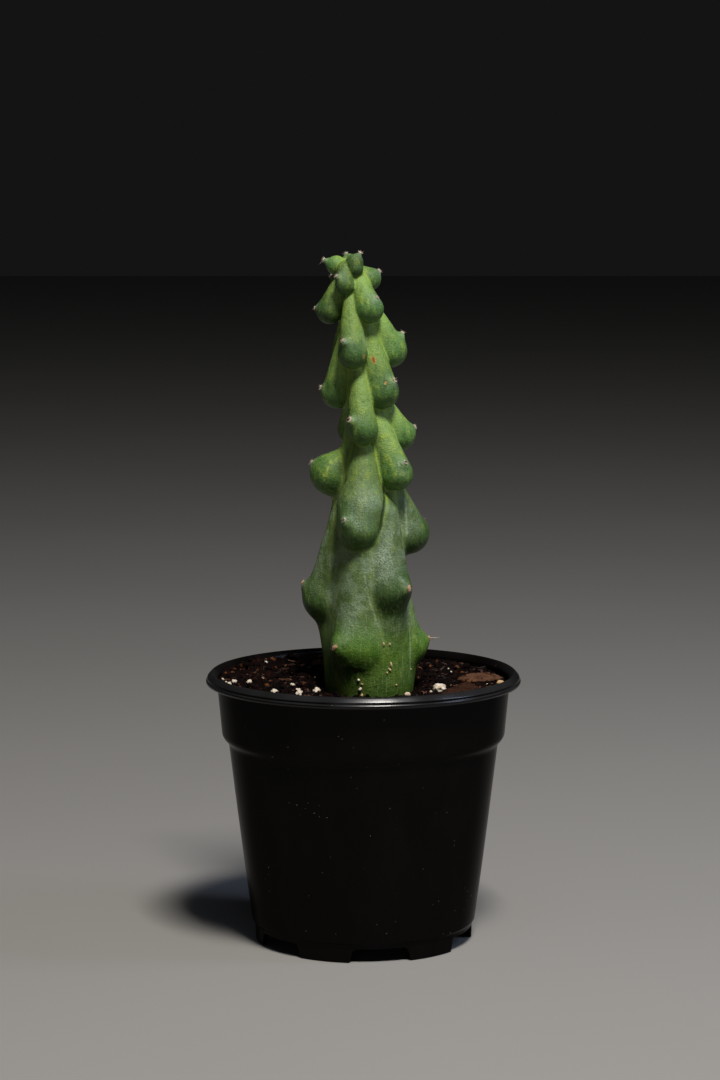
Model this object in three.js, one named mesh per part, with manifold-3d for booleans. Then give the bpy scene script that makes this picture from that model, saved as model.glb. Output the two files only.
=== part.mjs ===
// A breast-shaped ("boobie") cactus in a black nursery pot. Millimetres, +Z up, the origin on the
// surface that the pot stands on, at the pot's axis. The photograph's viewer stands at -Y.
// Azimuths are in degrees, counted from -Y (the front) towards +X (the right).
import * as THREE from "three";
import { mergeVertices } from "three/addons/utils/BufferGeometryUtils.js";
import Module from "manifold-3d";

const wasm = await Module();
wasm.setup();

// Driving dimensions of the pot
const POT_HEIGHT = 136;
const LIP_RADIUS = 79; // widest place of the rim, the lower edge of its turned-down lip
const LIP_DROP = 5.6; // height of the turned-down lip
const COLLAR_RADIUS = 71; // lower edge of the straight band below the lip
const COLLAR_BASE = 104;
const NECK_RADIUS = 67.7; // where the body starts, below the collar's step
const NECK_HEIGHT = 100.4;
const BODY_BASE_RADIUS = 56.3;
const FOOT_RADIUS = 54.6;
const FOOT_HEIGHT = 7.2;
const WALL = 1;
const POT_SEGMENTS = 60;
const FEET = 6;
const NOTCH_WIDTH_DEG = 31; // arc left open between two feet
const FIRST_NOTCH_DEG = 9;
const DRAIN_RADIUS = 4.2;
const DRAIN_CIRCLE = 42;

// Driving dimensions of the soil
const SOIL_LEVEL = 129;
const SOIL_GAP = 0.35; // clearance to the pot and to the stem
const BANK_DEG = 139; // where the soil is banked up highest, counted from +X: the back left
const SOIL_SEGMENTS = 48;
const SOIL_RINGS = 11;

// Driving dimensions of the stem
const STEM_RADIUS = 21.9; // at the soil
const STEM_TOP = 336; // where the core ends, under the youngest tubercles
const STEM_FOOT = 120; // the sampled skin ends here, inside the buried stump
const ROOT_BOTTOM = 88; // lowest point of the buried stump
const ROOT_RADIUS = 22.1;
const ROOT_TOP = 122.5;
const CELL = 4.7; // size of the sampling cells at the soil; they shrink with the stem
const TIP_CELL_SHARE = 0.56;
const GRID_SHIFT = 0.13; // part of a cell by which the sampling grid stands off the stem's axis
const AREOLE_RADIUS = 1.15;
const SPINE_RADIUS = 0.36;

const rad = THREE.MathUtils.degToRad;

// Seeded random numbers between 0 and 1
function seededRandom(seed) {
  let state = seed;
  return () => {
    state = (state * 1664525 + 1013904223) % 4294967296;
    return state / 4294967296;
  };
}

// A point at an azimuth, a distance from a vertical line and a height
function polar(azimuth, reach, height, centre = { x: 0, y: 0 }) {
  const a = rad(azimuth);
  return new THREE.Vector3(centre.x + reach * Math.sin(a), centre.y - reach * Math.cos(a), height);
}

// The bare shape with its doubled points joined
function joined(geometry) {
  const bare = geometry.index ? geometry.toNonIndexed() : geometry.clone();
  bare.deleteAttribute("normal");
  bare.deleteAttribute("uv");
  return mergeVertices(bare, 1e-4);
}

// Solids for joining and cutting, and back again
function toSolid(geometry) {
  const merged = joined(geometry);
  const vertProperties = merged.attributes.position.array;
  const triVerts = new Uint32Array(merged.index.array);
  return new wasm.Manifold(new wasm.Mesh({ numProp: 3, vertProperties, triVerts }));
}

function toGeometry(solid) {
  const mesh = solid.getMesh();
  const geometry = new THREE.BufferGeometry();
  geometry.setAttribute("position", new THREE.BufferAttribute(mesh.vertProperties, 3));
  geometry.setIndex(new THREE.BufferAttribute(mesh.triVerts, 1));
  geometry.computeVertexNormals();
  return geometry;
}

// A closed skin over rings of equally many points, listed so that the skin faces outwards
function skinOver(rings, firstPole, lastPole) {
  const count = rings[0].length;
  const points = [firstPole, ...rings.flat(), lastPole];
  const index = [];
  const at = (ring, k) => 1 + ring * count + (k % count);
  for (let k = 0; k < count; k++) {
    index.push(0, at(0, k + 1), at(0, k));
    for (let ring = 0; ring + 1 < rings.length; ring++) {
      index.push(at(ring, k), at(ring, k + 1), at(ring + 1, k + 1));
      index.push(at(ring, k), at(ring + 1, k + 1), at(ring + 1, k));
    }
    index.push(points.length - 1, at(rings.length - 1, k), at(rings.length - 1, k + 1));
  }
  return new THREE.BufferGeometry().setFromPoints(points).setIndex(index);
}

// LatheGeometry turns about Y; this stands its axis up along Z
function upright(geometry) {
  return geometry.rotateX(Math.PI / 2);
}

function cylinderAlongZ(radius, bottom, top, sides) {
  const height = top - bottom;
  const geometry = upright(new THREE.CylinderGeometry(radius, radius, height, sides));
  return geometry.translate(0, 0, (bottom + top) / 2);
}

// Pot
function potProfile() {
  const lipBottom = POT_HEIGHT - LIP_DROP;
  const collarTop = { r: COLLAR_RADIUS + 2.3, z: lipBottom - 1 };
  const outside = [
    [FOOT_RADIUS - 2, 0],
    [FOOT_RADIUS, 0],
    [FOOT_RADIUS + 0.4, FOOT_HEIGHT + 1.6],
    [BODY_BASE_RADIUS, FOOT_HEIGHT + 3],
    [(BODY_BASE_RADIUS + NECK_RADIUS) / 2, (FOOT_HEIGHT + NECK_HEIGHT) / 2],
    [NECK_RADIUS, NECK_HEIGHT],
    [COLLAR_RADIUS - 0.8, COLLAR_BASE - 0.9],
    [COLLAR_RADIUS, COLLAR_BASE + 0.8],
    [collarTop.r, collarTop.z],
    [collarTop.r + 0.8, POT_HEIGHT - 2.4],
    [LIP_RADIUS - 3, POT_HEIGHT - 2.2],
    [LIP_RADIUS - 1.4, lipBottom],
    [LIP_RADIUS - 0.3, lipBottom],
    [LIP_RADIUS, lipBottom + 0.7],
    [LIP_RADIUS - 0.9, POT_HEIGHT - 1.8],
    [LIP_RADIUS - 1.6, POT_HEIGHT - 0.4],
  ];
  const inside = [
    [LIP_RADIUS - 3, POT_HEIGHT],
    [LIP_RADIUS - 4.4, POT_HEIGHT - 0.9],
    [collarTop.r - 0.4, POT_HEIGHT - 2.8],
    [COLLAR_RADIUS - WALL, COLLAR_BASE + 1.2],
    [NECK_RADIUS - WALL, NECK_HEIGHT + 0.6],
    [BODY_BASE_RADIUS - WALL, FOOT_HEIGHT + 3.4],
    [BODY_BASE_RADIUS - WALL - 1.6, FOOT_HEIGHT + 1.6],
    [0, FOOT_HEIGHT + 1.6],
    [0, FOOT_HEIGHT],
    [FOOT_RADIUS - 2, FOOT_HEIGHT],
  ];
  return { outside, inside };
}

function pot() {
  const { outside, inside } = potProfile();
  const closed = [...outside, ...inside, outside[0]];
  const outline = closed.map(([r, z]) => new THREE.Vector2(r, z));
  let solid = toSolid(upright(new THREE.LatheGeometry(outline, POT_SEGMENTS)));
  if (solid.volume() < 0) throw new Error("the pot's profile runs the wrong way round");
  for (let i = 0; i < FEET; i++) {
    const azimuth = FIRST_NOTCH_DEG + (360 / FEET) * i;
    solid = solid.subtract(toSolid(notch(azimuth)));
    const hole = cylinderAlongZ(DRAIN_RADIUS, 0, FOOT_HEIGHT + WALL + 2, 12);
    const middle = polar(azimuth, DRAIN_CIRCLE, 0);
    solid = solid.subtract(toSolid(hole.translate(middle.x, middle.y, 0)));
  }
  return toGeometry(solid);
}

// The arch between two feet: narrower at the top than at the surface the pot stands on
function notch(azimuth) {
  const half = FOOT_RADIUS * Math.tan(rad(NOTCH_WIDTH_DEG / 2));
  const roof = FOOT_HEIGHT - 0.3;
  const arch = new THREE.Shape([
    new THREE.Vector2(-half - 0.4, -1),
    new THREE.Vector2(half + 0.4, -1),
    new THREE.Vector2(half - 1.2, roof - 1.6),
    new THREE.Vector2(half - 3.2, roof),
    new THREE.Vector2(-half + 3.2, roof),
    new THREE.Vector2(-half + 1.2, roof - 1.6),
  ]);
  const depth = 8;
  const block = new THREE.ExtrudeGeometry(arch, { depth, bevelEnabled: false });
  block.rotateX(Math.PI / 2); // the arch stands up and its depth runs along -Y, outwards at the front
  block.translate(0, -FOOT_RADIUS + 5, 0);
  return block.rotateZ(rad(azimuth));
}

// Soil
function soilHeight(x, y) {
  const far = Math.hypot(x, y) / COLLAR_RADIUS;
  const lumps =
    0.6 * Math.sin(0.21 * x + 1.3) * Math.cos(0.17 * y - 0.6) +
    0.45 * Math.sin(0.43 * x - 0.37 * y + 0.9) +
    0.35 * Math.sin(0.71 * y + 0.29 * x) * Math.cos(0.58 * x - 1.1);
  const turn = Math.atan2(y, x) - rad(BANK_DEG);
  // the ground sinks round the stem, and between it and the front of the rim
  const fromStem = Math.max(0, Math.hypot(x - 2.9, y) - 22);
  const dip = 4.4 * Math.exp(-((fromStem / 7) ** 2)) + 2.2 * Math.exp(-(((x - 3) / 21) ** 2) - ((y + 42) / 19) ** 2);
  return SOIL_LEVEL + lumps - dip + far ** 3 * (2.2 + 2.1 * Math.cos(turn));
}

// The pot's inner radius at a height, from the part of its profile between the lip and the floor
function potInnerRadius(height) {
  const wall = potProfile().inside.slice(2, 7);
  for (let i = 0; i + 1 < wall.length; i++) {
    const [upperR, upperZ] = wall[i];
    const [lowerR, lowerZ] = wall[i + 1];
    if (height <= upperZ && height >= lowerZ)
      return lowerR + ((upperR - lowerR) * (height - lowerZ)) / (upperZ - lowerZ);
  }
  return wall[0][0];
}

// A flat-sided wall lies nearer the axis than its corners; the soil clears that as well
const CHORD = Math.cos(Math.PI / POT_SEGMENTS);

function soilRing(radius, heightAt) {
  return Array.from({ length: SOIL_SEGMENTS }, (_, k) => {
    const a = (2 * Math.PI * k) / SOIL_SEGMENTS;
    const x = radius * Math.cos(a);
    const y = radius * Math.sin(a);
    return new THREE.Vector3(x, y, heightAt(x, y));
  });
}

function soil(pockets) {
  const rings = [];
  const floorTop = FOOT_HEIGHT + 1.6 + SOIL_GAP;
  const wallRadius = (z) => potInnerRadius(z) * CHORD - SOIL_GAP;
  const corner = BODY_BASE_RADIUS - WALL - 1.6 - 2 * SOIL_GAP;
  rings.push(soilRing(corner, () => floorTop));
  for (const z of [FOOT_HEIGHT + 3.6, NECK_HEIGHT + 0.2, COLLAR_BASE + 1.4])
    rings.push(soilRing(wallRadius(z) - 0.2, () => z));
  const axis = stemAxis(SOIL_LEVEL);
  const holeRadius = (ROOT_RADIUS + SOIL_GAP) / Math.cos(Math.PI / SOIL_SEGMENTS);
  const outer = wallRadius(SOIL_LEVEL);
  const top = [];
  for (let i = 0; i <= SOIL_RINGS; i++) {
    const share = i / SOIL_RINGS;
    // rings slide from the pot's axis to the stem's as they close in on the hole
    const ring = soilRing(1, () => 0);
    for (const p of ring) {
      const edge = wallRadius(soilHeight(p.x * outer, p.y * outer)) - 0.2;
      const radius = edge + (holeRadius - edge) * share;
      p.x = p.x * radius + axis.x * share;
      p.y = p.y * radius + axis.y * share;
      p.z = soilHeight(p.x, p.y);
    }
    top.push(ring);
  }
  rings.push(...top);
  const hole = top[top.length - 1];
  rings.push(hole.map((p) => new THREE.Vector3(p.x, p.y, ROOT_BOTTOM - SOIL_GAP)));
  const first = new THREE.Vector3(0, 0, floorTop);
  const last = new THREE.Vector3(axis.x, axis.y, ROOT_BOTTOM - SOIL_GAP);
  let solid = toSolid(skinOver(rings, first, last));
  for (const pocket of pockets) solid = solid.subtract(toSolid(pocket));
  const parts = solid.decompose().sort((a, b) => b.volume() - a.volume());
  return toGeometry(parts[0]);
}

// Stem. The axis leans a little to the left and bends on its way up.
function stemShare(z) {
  return THREE.MathUtils.clamp((z - SOIL_LEVEL) / (STEM_TOP - SOIL_LEVEL), 0, 1);
}

function stemAxis(z) {
  const t = stemShare(z);
  return { x: 2.9 - 8.4 * t + 2 * Math.sin(Math.PI * t), y: 1.5 * Math.sin(Math.PI * t) };
}

// Sizes that change up the stem: straight lines between these heights
const CORE_RADIUS = [
  [128, 22],
  [165, 20.2],
  [190, 18.6],
  [222, 14.6],
  [246, 12],
  [258, 8.9],
  [306, 5.6],
  [336, 2],
];
const BLEND = [
  [128, 2.6],
  [170, 2.5],
  [200, 1.8],
  [240, 1.3],
  [260, 1],
  [320, 0.7],
  [340, 0.45],
];

function along(list, z) {
  const next = list.findIndex(([height]) => height > z);
  if (next < 0) return list[list.length - 1][1];
  if (next === 0) return list[0][1];
  const [lowZ, low] = list[next - 1];
  const [highZ, high] = list[next];
  return low + ((high - low) * (z - lowZ)) / (highZ - lowZ);
}

// Six ribs of tubercles, listed from the top down. A tubercle has its areole (azimuth, height, reach
// from the stem's axis), its belly (azimuth, height, reach and radius), the root of its skirt between
// the tubercles above, and in one case a neck above that (both measured like the belly).
const RIBS = {
  front: [
    [[-35, 333.6, 14], [-27, 329.3, 9, 4.6], [-38, 337.6, 6.2, 3.4]],
    [[-17, 302.3, 23], [-10, 295.8, 15, 7.3], [-16, 321, 6.7, 3.9]],
    [[-12, 264, 25], [1, 258.9, 16.8, 7.5], [-6, 288, 9, 3.3]],
    [[-20, 215, 29.4], [-13, 209.6, 18.4, 9.9], [-9, 220.5, 15, 10.9], [-2, 248, 12, 4.6]],
    [[-30, 152.6, 30.5], [-21, 150, 17.8, 10.6], [-10, 196, 14, 8]],
  ],
  frontRight: [
    [[36, 344.4, 6.8], [12, 340, 5, 4.5], [14, 337.2, 6.4, 3.9]],
    [[39, 322.6, 18], [36, 317.6, 12, 7], [36, 333, 4, 3.6]],
    [[54.7, 282, 21.5], [54, 276.7, 13.4, 8.2], [46, 314, 4.6, 3.2]],
    [[51.3, 241.8, 27], [57.4, 235.8, 19.3, 7.6], [46, 272, 6.6, 3.4]],
    [[38.2, 181.5, 30.4], [34, 179.6, 20.2, 9.2], [37, 216, 12.6, 8.4]],
  ],
  right: [
    [[97, 335.4, 13.6], [97, 331.9, 8.3, 5.6], [97, 334.3, 4.6, 4.4]],
    [[100, 304.2, 24], [100, 296.2, 16.6, 8.1], [98, 318, 5.5, 5.6]],
    [[102, 257.8, 26.6], [102, 254.2, 18.8, 7.6], [100, 265, 12, 6.4]],
    [[112, 209.5, 31.5], [106, 204.6, 22, 9.8], [104, 238, 9, 4.5]],
    [[98, 151.4, 29.8], [98, 147.9, 21.2, 6.8], [98, 178, 13, 5.5]],
  ],
  backRight: [
    [[205, 343.5, 7.5], [195, 339.6, 4.5, 4.6], [190, 332, 2.5, 3]],
    [[160, 321, 18.5], [158, 316.5, 12, 6.8], [160, 333, 4, 3.6]],
    [[152, 281, 22.5], [156, 275.5, 13.8, 8.1], [158, 305, 4, 3.8]],
    [[166, 240, 27.5], [161, 235.5, 18.8, 8.6], [160, 254, 9, 4.5]],
    [[161, 178, 32], [161, 171.5, 22.5, 9.4], [160, 215, 10.5, 6]],
  ],
  backLeft: [
    [[-128, 333, 14], [-130, 329.5, 8.2, 4.8], [-134, 337, 4, 3]],
    [[-153, 302, 20.5], [-152, 296, 13, 6.9], [-150, 321, 4, 3.6]],
    [[-162, 260, 24], [-160, 256, 15.5, 7.2], [-156, 283, 5, 3.8]],
    [[-150, 212, 30], [-155, 208, 19.5, 10.2], [-154, 243, 9, 4.5]],
    [[-146, 153.5, 31], [-148, 148, 21, 9.6], [-150, 188, 13, 6]],
  ],
  left: [
    [[-88, 341.4, 14.4], [-88, 338.7, 8, 4.8], [-88, 337.6, 4.6, 4.4]],
    [[-94, 318, 19.7], [-94, 316.5, 12.4, 6.7], [-92, 332, 4.5, 4.4]],
    [[-92, 278.3, 19.6], [-92, 275.6, 11.8, 7.6], [-92, 306, 4.5, 3.8]],
    [[-93, 240.1, 26.4], [-93, 234.9, 16.4, 10.6], [-93, 243, 8, 5.5]],
    [[-96, 179, 33], [-96, 171.8, 23, 8.9], [-94, 221, 10, 5.5]],
  ],
};
const FOOT_SHARE = { front: 0.95, frontRight: 0.7 }; // how thick the lowest tubercle runs on into the soil
const LONG_SPINE = { rib: "right", length: 8 }; // on the lowest areole of that rib

// The bodies of one tubercle, each a cone between two balls: the skirt, the nose that carries the
// areole, and below the lowest one a rib that runs into the soil
function tubercleBodies(rib, [areole, belly, root, neck], isLowest) {
  const place = ([azimuth, height, reach]) => polar(azimuth, reach, height, stemAxis(height));
  const size = belly[3];
  const middle = place(belly);
  const noseSize = 0.3 * size;
  const nose = place([areole[0], areole[1] - 0.4 * noseSize, areole[2] - noseSize]);
  const bodies = [
    { a: place(root), b: middle, ra: root[3], rb: size },
    { a: middle, b: nose, ra: 0.7 * size, rb: noseSize },
  ];
  if (neck) bodies.push({ a: place(neck), b: place(root), ra: neck[3], rb: root[3] });
  if (isLowest) {
    const foot = polar(belly[0], STEM_RADIUS - 7.5, ROOT_TOP, stemAxis(SOIL_LEVEL));
    const share = FOOT_SHARE[rib] ?? 0.45;
    bodies.push({ a: middle, b: foot, ra: share * size, rb: 7 * share });
  }
  const longSpine = isLowest && rib === LONG_SPINE.rib ? LONG_SPINE.length : undefined;
  return { bodies, areole: { at: nose, from: middle, size: noseSize, longSpine } };
}

const tubercles = Object.entries(RIBS).flatMap(([rib, rows]) =>
  rows.map((row, i) => tubercleBodies(rib, row, i === rows.length - 1)),
);
const stemBodies = tubercles.flatMap((t) => t.bodies);

// Signed distance from a point to a cone between two balls of different sizes
function roundCone(x, y, z, { a, b, ra, rb }) {
  const bx = b.x - a.x;
  const by = b.y - a.y;
  const bz = b.z - a.z;
  const px = x - a.x;
  const py = y - a.y;
  const pz = z - a.z;
  const l2 = bx * bx + by * by + bz * bz;
  const rr = ra - rb;
  const a2 = l2 - rr * rr;
  const along = px * bx + py * by + pz * bz;
  const beyond = along - l2;
  const sx = px * l2 - bx * along;
  const sy = py * l2 - by * along;
  const sz = pz * l2 - bz * along;
  const x2 = sx * sx + sy * sy + sz * sz;
  const y2 = along * along * l2;
  const z2 = beyond * beyond * l2;
  const k = Math.sign(rr) * rr * rr * x2;
  if (Math.sign(beyond) * a2 * z2 > k) return Math.sqrt(x2 + z2) / l2 - rb;
  if (Math.sign(along) * a2 * y2 < k) return Math.sqrt(x2 + y2) / l2 - ra;
  return (Math.sqrt((x2 * a2) / l2) + along * rr) / l2 - ra;
}

// The stem's field, negative inside. Core and tubercles melt into each other, less so near the top,
// and the foot draws in to a plain round column where it passes through the soil.
function stemField(x, y, z) {
  const blend = along(BLEND, z);
  const axis = stemAxis(z);
  const over = Math.max(0, z - STEM_TOP);
  const core = Math.hypot(x - axis.x, y - axis.y, over) - along(CORE_RADIUS, z);
  let sum = Math.exp(-core / blend);
  for (const body of stemBodies) {
    const d = roundCone(x, y, z, body);
    if (d < 12 * blend) sum += Math.exp(-d / blend);
  }
  const skin = -blend * Math.log(sum);
  const base = stemAxis(SOIL_LEVEL);
  const allowed = STEM_RADIUS + 1 + 0.3 * Math.max(0, z - 126) + 1.2 * Math.max(0, z - 140);
  const column = Math.hypot(x - base.x, y - base.y) - allowed;
  const gap = Math.max(0, 3 - Math.abs(skin - column));
  return Math.max(Math.max(skin, column) + (gap * gap) / 12, STEM_FOOT - z);
}

// The eight corners of a cell, numbered by their three bits, and the cells round an edge along each axis
const CORNERS = [0, 1, 2, 3, 4, 5, 6, 7].map((c) => [c & 1, (c >> 1) & 1, c >> 2]);
const bitsApart = (m, n) => CORNERS[m ^ n].reduce((sum, bit) => sum + bit, 0);
const AROUND = [
  [[0, -1, -1], [0, 0, -1], [0, 0, 0], [0, -1, 0]],
  [[-1, 0, -1], [-1, 0, 0], [0, 0, 0], [0, 0, -1]],
  [[-1, -1, 0], [0, -1, 0], [0, 0, 0], [-1, 0, 0]],
];

// Which corners hang together: those inside along the cell's edges, those outside also across its faces
function cornerGroups(value) {
  const group = value.map((_, m) => m);
  for (let pass = 0; pass < 4; pass++)
    for (let m = 0; m < 8; m++)
      for (let n = 0; n < 8; n++) {
        const inside = value[m] < 0;
        if (inside !== value[n] < 0 || bitsApart(m, n) > (inside ? 1 : 2)) continue;
        group[m] = group[n] = Math.min(group[m], group[n]);
      }
  return group;
}

// Moves a point onto the field's zero surface, by no more than the given length
function settle(point, field, most) {
  const start = point.clone();
  const h = 0.05;
  for (let pass = 0; pass < 3; pass++) {
    const { x, y, z } = point;
    const here = field(x, y, z);
    const slope = new THREE.Vector3(field(x + h, y, z), field(x, y + h, z), field(x, y, z + h));
    slope.subScalar(here).divideScalar(h);
    point.addScaledVector(slope, -here / Math.max(0.25, slope.lengthSq()));
  }
  const moved = point.clone().sub(start);
  point.copy(start).add(moved.clampLength(0, most));
}

// Surface nets over a grid of cells that narrows with the stem, one point for each sheet in a cell
function surfaceNet(field) {
  const levels = [STEM_FOOT - 1.45 * CELL];
  const shrink = (z) => 1 - (1 - TIP_CELL_SHARE) * stemShare(z);
  const top = STEM_TOP + 14;
  while (levels[levels.length - 1] < top) {
    const z = levels[levels.length - 1];
    levels.push(z + CELL * shrink(z));
  }
  const across = 2 * Math.ceil(46 / CELL) + 1;
  const middle = (across - 1) / 2;
  const place = (i, j, k) => {
    const z = levels[k];
    const axis = stemAxis(z);
    const step = CELL * shrink(z);
    return [axis.x + (i - middle + GRID_SHIFT) * step, axis.y + (j - middle + GRID_SHIFT) * step, z];
  };
  const nodeOf = (i, j, k) => (k * across + j) * across + i;
  const values = new Float64Array(across * across * levels.length);
  for (let k = 0; k < levels.length; k++)
    for (let j = 0; j < across; j++)
      for (let i = 0; i < across; i++) values[nodeOf(i, j, k)] = field(...place(i, j, k));

  const points = [];
  const groupsOf = new Map();
  const pointOf = new Map();
  for (let k = 0; k + 1 < levels.length; k++)
    for (let j = 0; j + 1 < across; j++)
      for (let i = 0; i + 1 < across; i++) {
        const value = CORNERS.map(([a, b, c]) => values[nodeOf(i + a, j + b, k + c)]);
        if (value.every((v) => v < 0) || value.every((v) => v >= 0)) continue;
        const spot = CORNERS.map(([a, b, c]) => new THREE.Vector3(...place(i + a, j + b, k + c)));
        const group = cornerGroups(value);
        const sheets = new Map();
        for (let m = 0; m < 8; m++)
          for (let n = 0; n < 8; n++) {
            if (bitsApart(m, n) !== 1 || value[m] >= 0 || value[n] < 0) continue;
            const share = value[m] / (value[m] - value[n]);
            const crossing = spot[m].clone().lerp(spot[n], share);
            const sheet = group[m] * 8 + group[n];
            sheets.set(sheet, [...(sheets.get(sheet) ?? []), crossing]);
          }
        groupsOf.set(nodeOf(i, j, k), group);
        for (const [sheet, crossings] of sheets) {
          const point = new THREE.Vector3();
          for (const crossing of crossings) point.addScaledVector(crossing, 1 / crossings.length);
          settle(point, field, 0.3 * spot[0].distanceTo(spot[1]));
          pointOf.set(nodeOf(i, j, k) * 64 + sheet, points.length);
          points.push(point);
        }
      }

  // One four-sided face round each grid edge that the surface crosses, cut along its shorter diagonal
  const index = [];
  for (let k = 1; k + 1 < levels.length; k++)
    for (let j = 1; j + 1 < across; j++)
      for (let i = 1; i + 1 < across; i++)
        AROUND.forEach((cells, axis) => {
          const here = values[nodeOf(i, j, k)] < 0;
          const step = CORNERS[1 << axis];
          if (here === values[nodeOf(i + step[0], j + step[1], k + step[2])] < 0) return;
          const loop = cells.map(([a, b, c]) => {
            const cell = nodeOf(i + a, j + b, k + c);
            const near = -a - 2 * b - 4 * c;
            const far = near + (1 << axis);
            const group = groupsOf.get(cell);
            const sheet = here ? group[near] * 8 + group[far] : group[far] * 8 + group[near];
            return pointOf.get(cell * 64 + sheet);
          });
          if (!here) loop.reverse();
          const [p, q, r, s] = loop;
          if (points[p].distanceTo(points[r]) < points[q].distanceTo(points[s])) index.push(p, q, r, p, r, s);
          else index.push(q, r, s, q, s, p);
        });
  return new THREE.BufferGeometry().setFromPoints(points).setIndex(index);
}

// A thorn or a pad points from one place to another
function aimed(geometry, from, towards) {
  const direction = towards.clone().sub(from).normalize();
  const turn = new THREE.Quaternion().setFromUnitVectors(new THREE.Vector3(0, 1, 0), direction);
  return geometry.applyQuaternion(turn).translate(from.x, from.y, from.z);
}

// A woolly pad with one or two short spines on each nose, or with its long spine, level and outwards
function areoleSolids() {
  const random = seededRandom(11);
  return tubercles.flatMap((tubercle) => {
    const { at, from, size, longSpine } = tubercle.areole;
    const out = at.clone().sub(from).normalize();
    const surface = at.clone().addScaledVector(out, size - 0.2);
    const pad = new THREE.IcosahedronGeometry(AREOLE_RADIUS, 0).scale(1, 1.3, 1).translate(0, -0.6, 0);
    const solids = [toSolid(aimed(pad, surface, surface.clone().add(out)))];
    const count = longSpine ? 1 : 1 + Math.round(random());
    for (let i = 0; i < count; i++) {
      const length = longSpine ?? 2.9 + 0.9 * random();
      const lean = new THREE.Vector3(random() - 0.5, random() - 0.5, random() - 0.2);
      const way = longSpine ? new THREE.Vector3(1, 0, 0.06) : out.clone().addScaledVector(lean, 0.6);
      const spine = new THREE.ConeGeometry(SPINE_RADIUS, length, 4).translate(0, length / 2 - 1.2, 0);
      solids.push(toSolid(aimed(spine, surface, surface.clone().add(way))));
    }
    return solids;
  });
}

function stem() {
  const axis = stemAxis(SOIL_LEVEL);
  const height = ROOT_TOP - ROOT_BOTTOM;
  const stump = upright(new THREE.CylinderGeometry(ROOT_RADIUS, ROOT_RADIUS - 1, height, 30));
  stump.translate(axis.x, axis.y, ROOT_BOTTOM + height / 2);
  let solid = toSolid(surfaceNet(stemField)).add(toSolid(stump));
  for (const extra of areoleSolids()) solid = solid.add(extra);
  const parts = solid.decompose().sort((a, b) => b.volume() - a.volume());
  return toGeometry(parts[0]);
}

// Loose pieces on the soil: expanded perlite grains and chips of bark. Each grain: x, y, length.
const PERLITE_GRAINS = [
  [38, -15.5, 7.6],
  [30, -25, 2.6],
  [-44, -26, 3.8],
  [-32.3, -23, 3.1],
  [-32, -38, 3.8],
  [-23.4, -17, 4.8],
  [-35.5, -8, 2.6],
  [-57, -6.6, 3.5],
  [-64.4, -10, 2.9],
  [-66.2, -19, 2.2],
  [-50.6, 41, 2.5],
  [12, 55, 3.8],
  [68.6, -1, 4.2],
  [44.5, 28, 2],
  [21.5, -27.5, 3.2],
];

function lumpyGrain(length, seed) {
  const random = seededRandom(seed);
  const grain = joined(new THREE.IcosahedronGeometry(length / 2, 0));
  const spots = grain.attributes.position;
  for (let i = 0; i < spots.count; i++) {
    const swell = 0.86 + 0.28 * random();
    spots.setXYZ(i, spots.getX(i) * swell, spots.getY(i) * swell * 0.85, spots.getZ(i) * swell * 0.75);
  }
  return grain.rotateZ(random() * Math.PI);
}

// Outlines of a chip, in shares of its length and width
const LEAF = [
  [-0.5, -0.16],
  [-0.22, -0.5],
  [0.2, -0.38],
  [0.5, -0.08],
  [0.38, 0.34],
  [-0.05, 0.5],
  [-0.4, 0.3],
];
const WEDGE = [
  [-0.5, -0.34],
  [-0.1, -0.5],
  [0.42, -0.36],
  [0.5, 0.04],
  [0.27, 0.5],
  [-0.02, 0.22],
  [-0.34, -0.02],
];

// Chips of bark: outline, middle, size along and across, thickness, turn, and tilt about their length
const BARK_CHIPS = [
  { outline: LEAF, x: 58.5, y: 3, length: 22.5, width: 8.5, thick: 2.4, turn: 2, tilt: 20, lift: 1.9 },
  { outline: WEDGE, x: 47.4, y: -25, length: 19.5, width: 13, thick: 2.2, turn: 6, tilt: 28, lift: 2.2 },
  { outline: LEAF, x: -20, y: 47, length: 16, width: 6, thick: 2.2, turn: 24, tilt: 6, lift: 1.2 },
];

function barkChip({ outline, length, width, thick }) {
  const face = new THREE.Shape(outline.map(([x, y]) => new THREE.Vector2(x * length, y * width)));
  const settings = { depth: thick * 0.5, bevelThickness: thick * 0.25, bevelSize: thick * 0.35 };
  const edge = { bevelOffset: -thick * 0.35, bevelSegments: 1 };
  return new THREE.ExtrudeGeometry(face, { ...settings, ...edge }).translate(0, 0, -thick / 4);
}

// The same shape with every wall moved out by the gap, for the pocket it lies in
function pocketFor(geometry, length, width, thick) {
  const grow = (size) => 1 + (2 * SOIL_GAP) / size;
  return geometry.clone().scale(grow(length), grow(width), grow(thick));
}

function loosePieces() {
  const pieces = [];
  const pockets = [];
  PERLITE_GRAINS.forEach(([x, y, length], i) => {
    const grain = lumpyGrain(length, 100 + i);
    const z = soilHeight(x, y) + length * 0.14;
    const pocket = pocketFor(grain, length * 0.8, length * 0.7, length * 0.6);
    pieces.push({ name: `perlite_${i + 1}`, geometry: grain.translate(x, y, z), material: perliteSkin });
    pockets.push(pocket.translate(x, y, z));
  });
  BARK_CHIPS.forEach((chip, i) => {
    const shape = barkChip(chip);
    const pocket = pocketFor(shape, chip.length * 0.7, chip.width * 0.7, chip.thick);
    const z = soilHeight(chip.x, chip.y) + chip.lift;
    const lay = (g) => g.rotateX(rad(chip.tilt)).rotateZ(rad(chip.turn)).translate(chip.x, chip.y, z);
    pieces.push({ name: `bark_chip_${i + 1}`, geometry: lay(shape), material: barkSkin });
    pockets.push(lay(pocket));
  });
  return { pieces, pockets };
}

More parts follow.
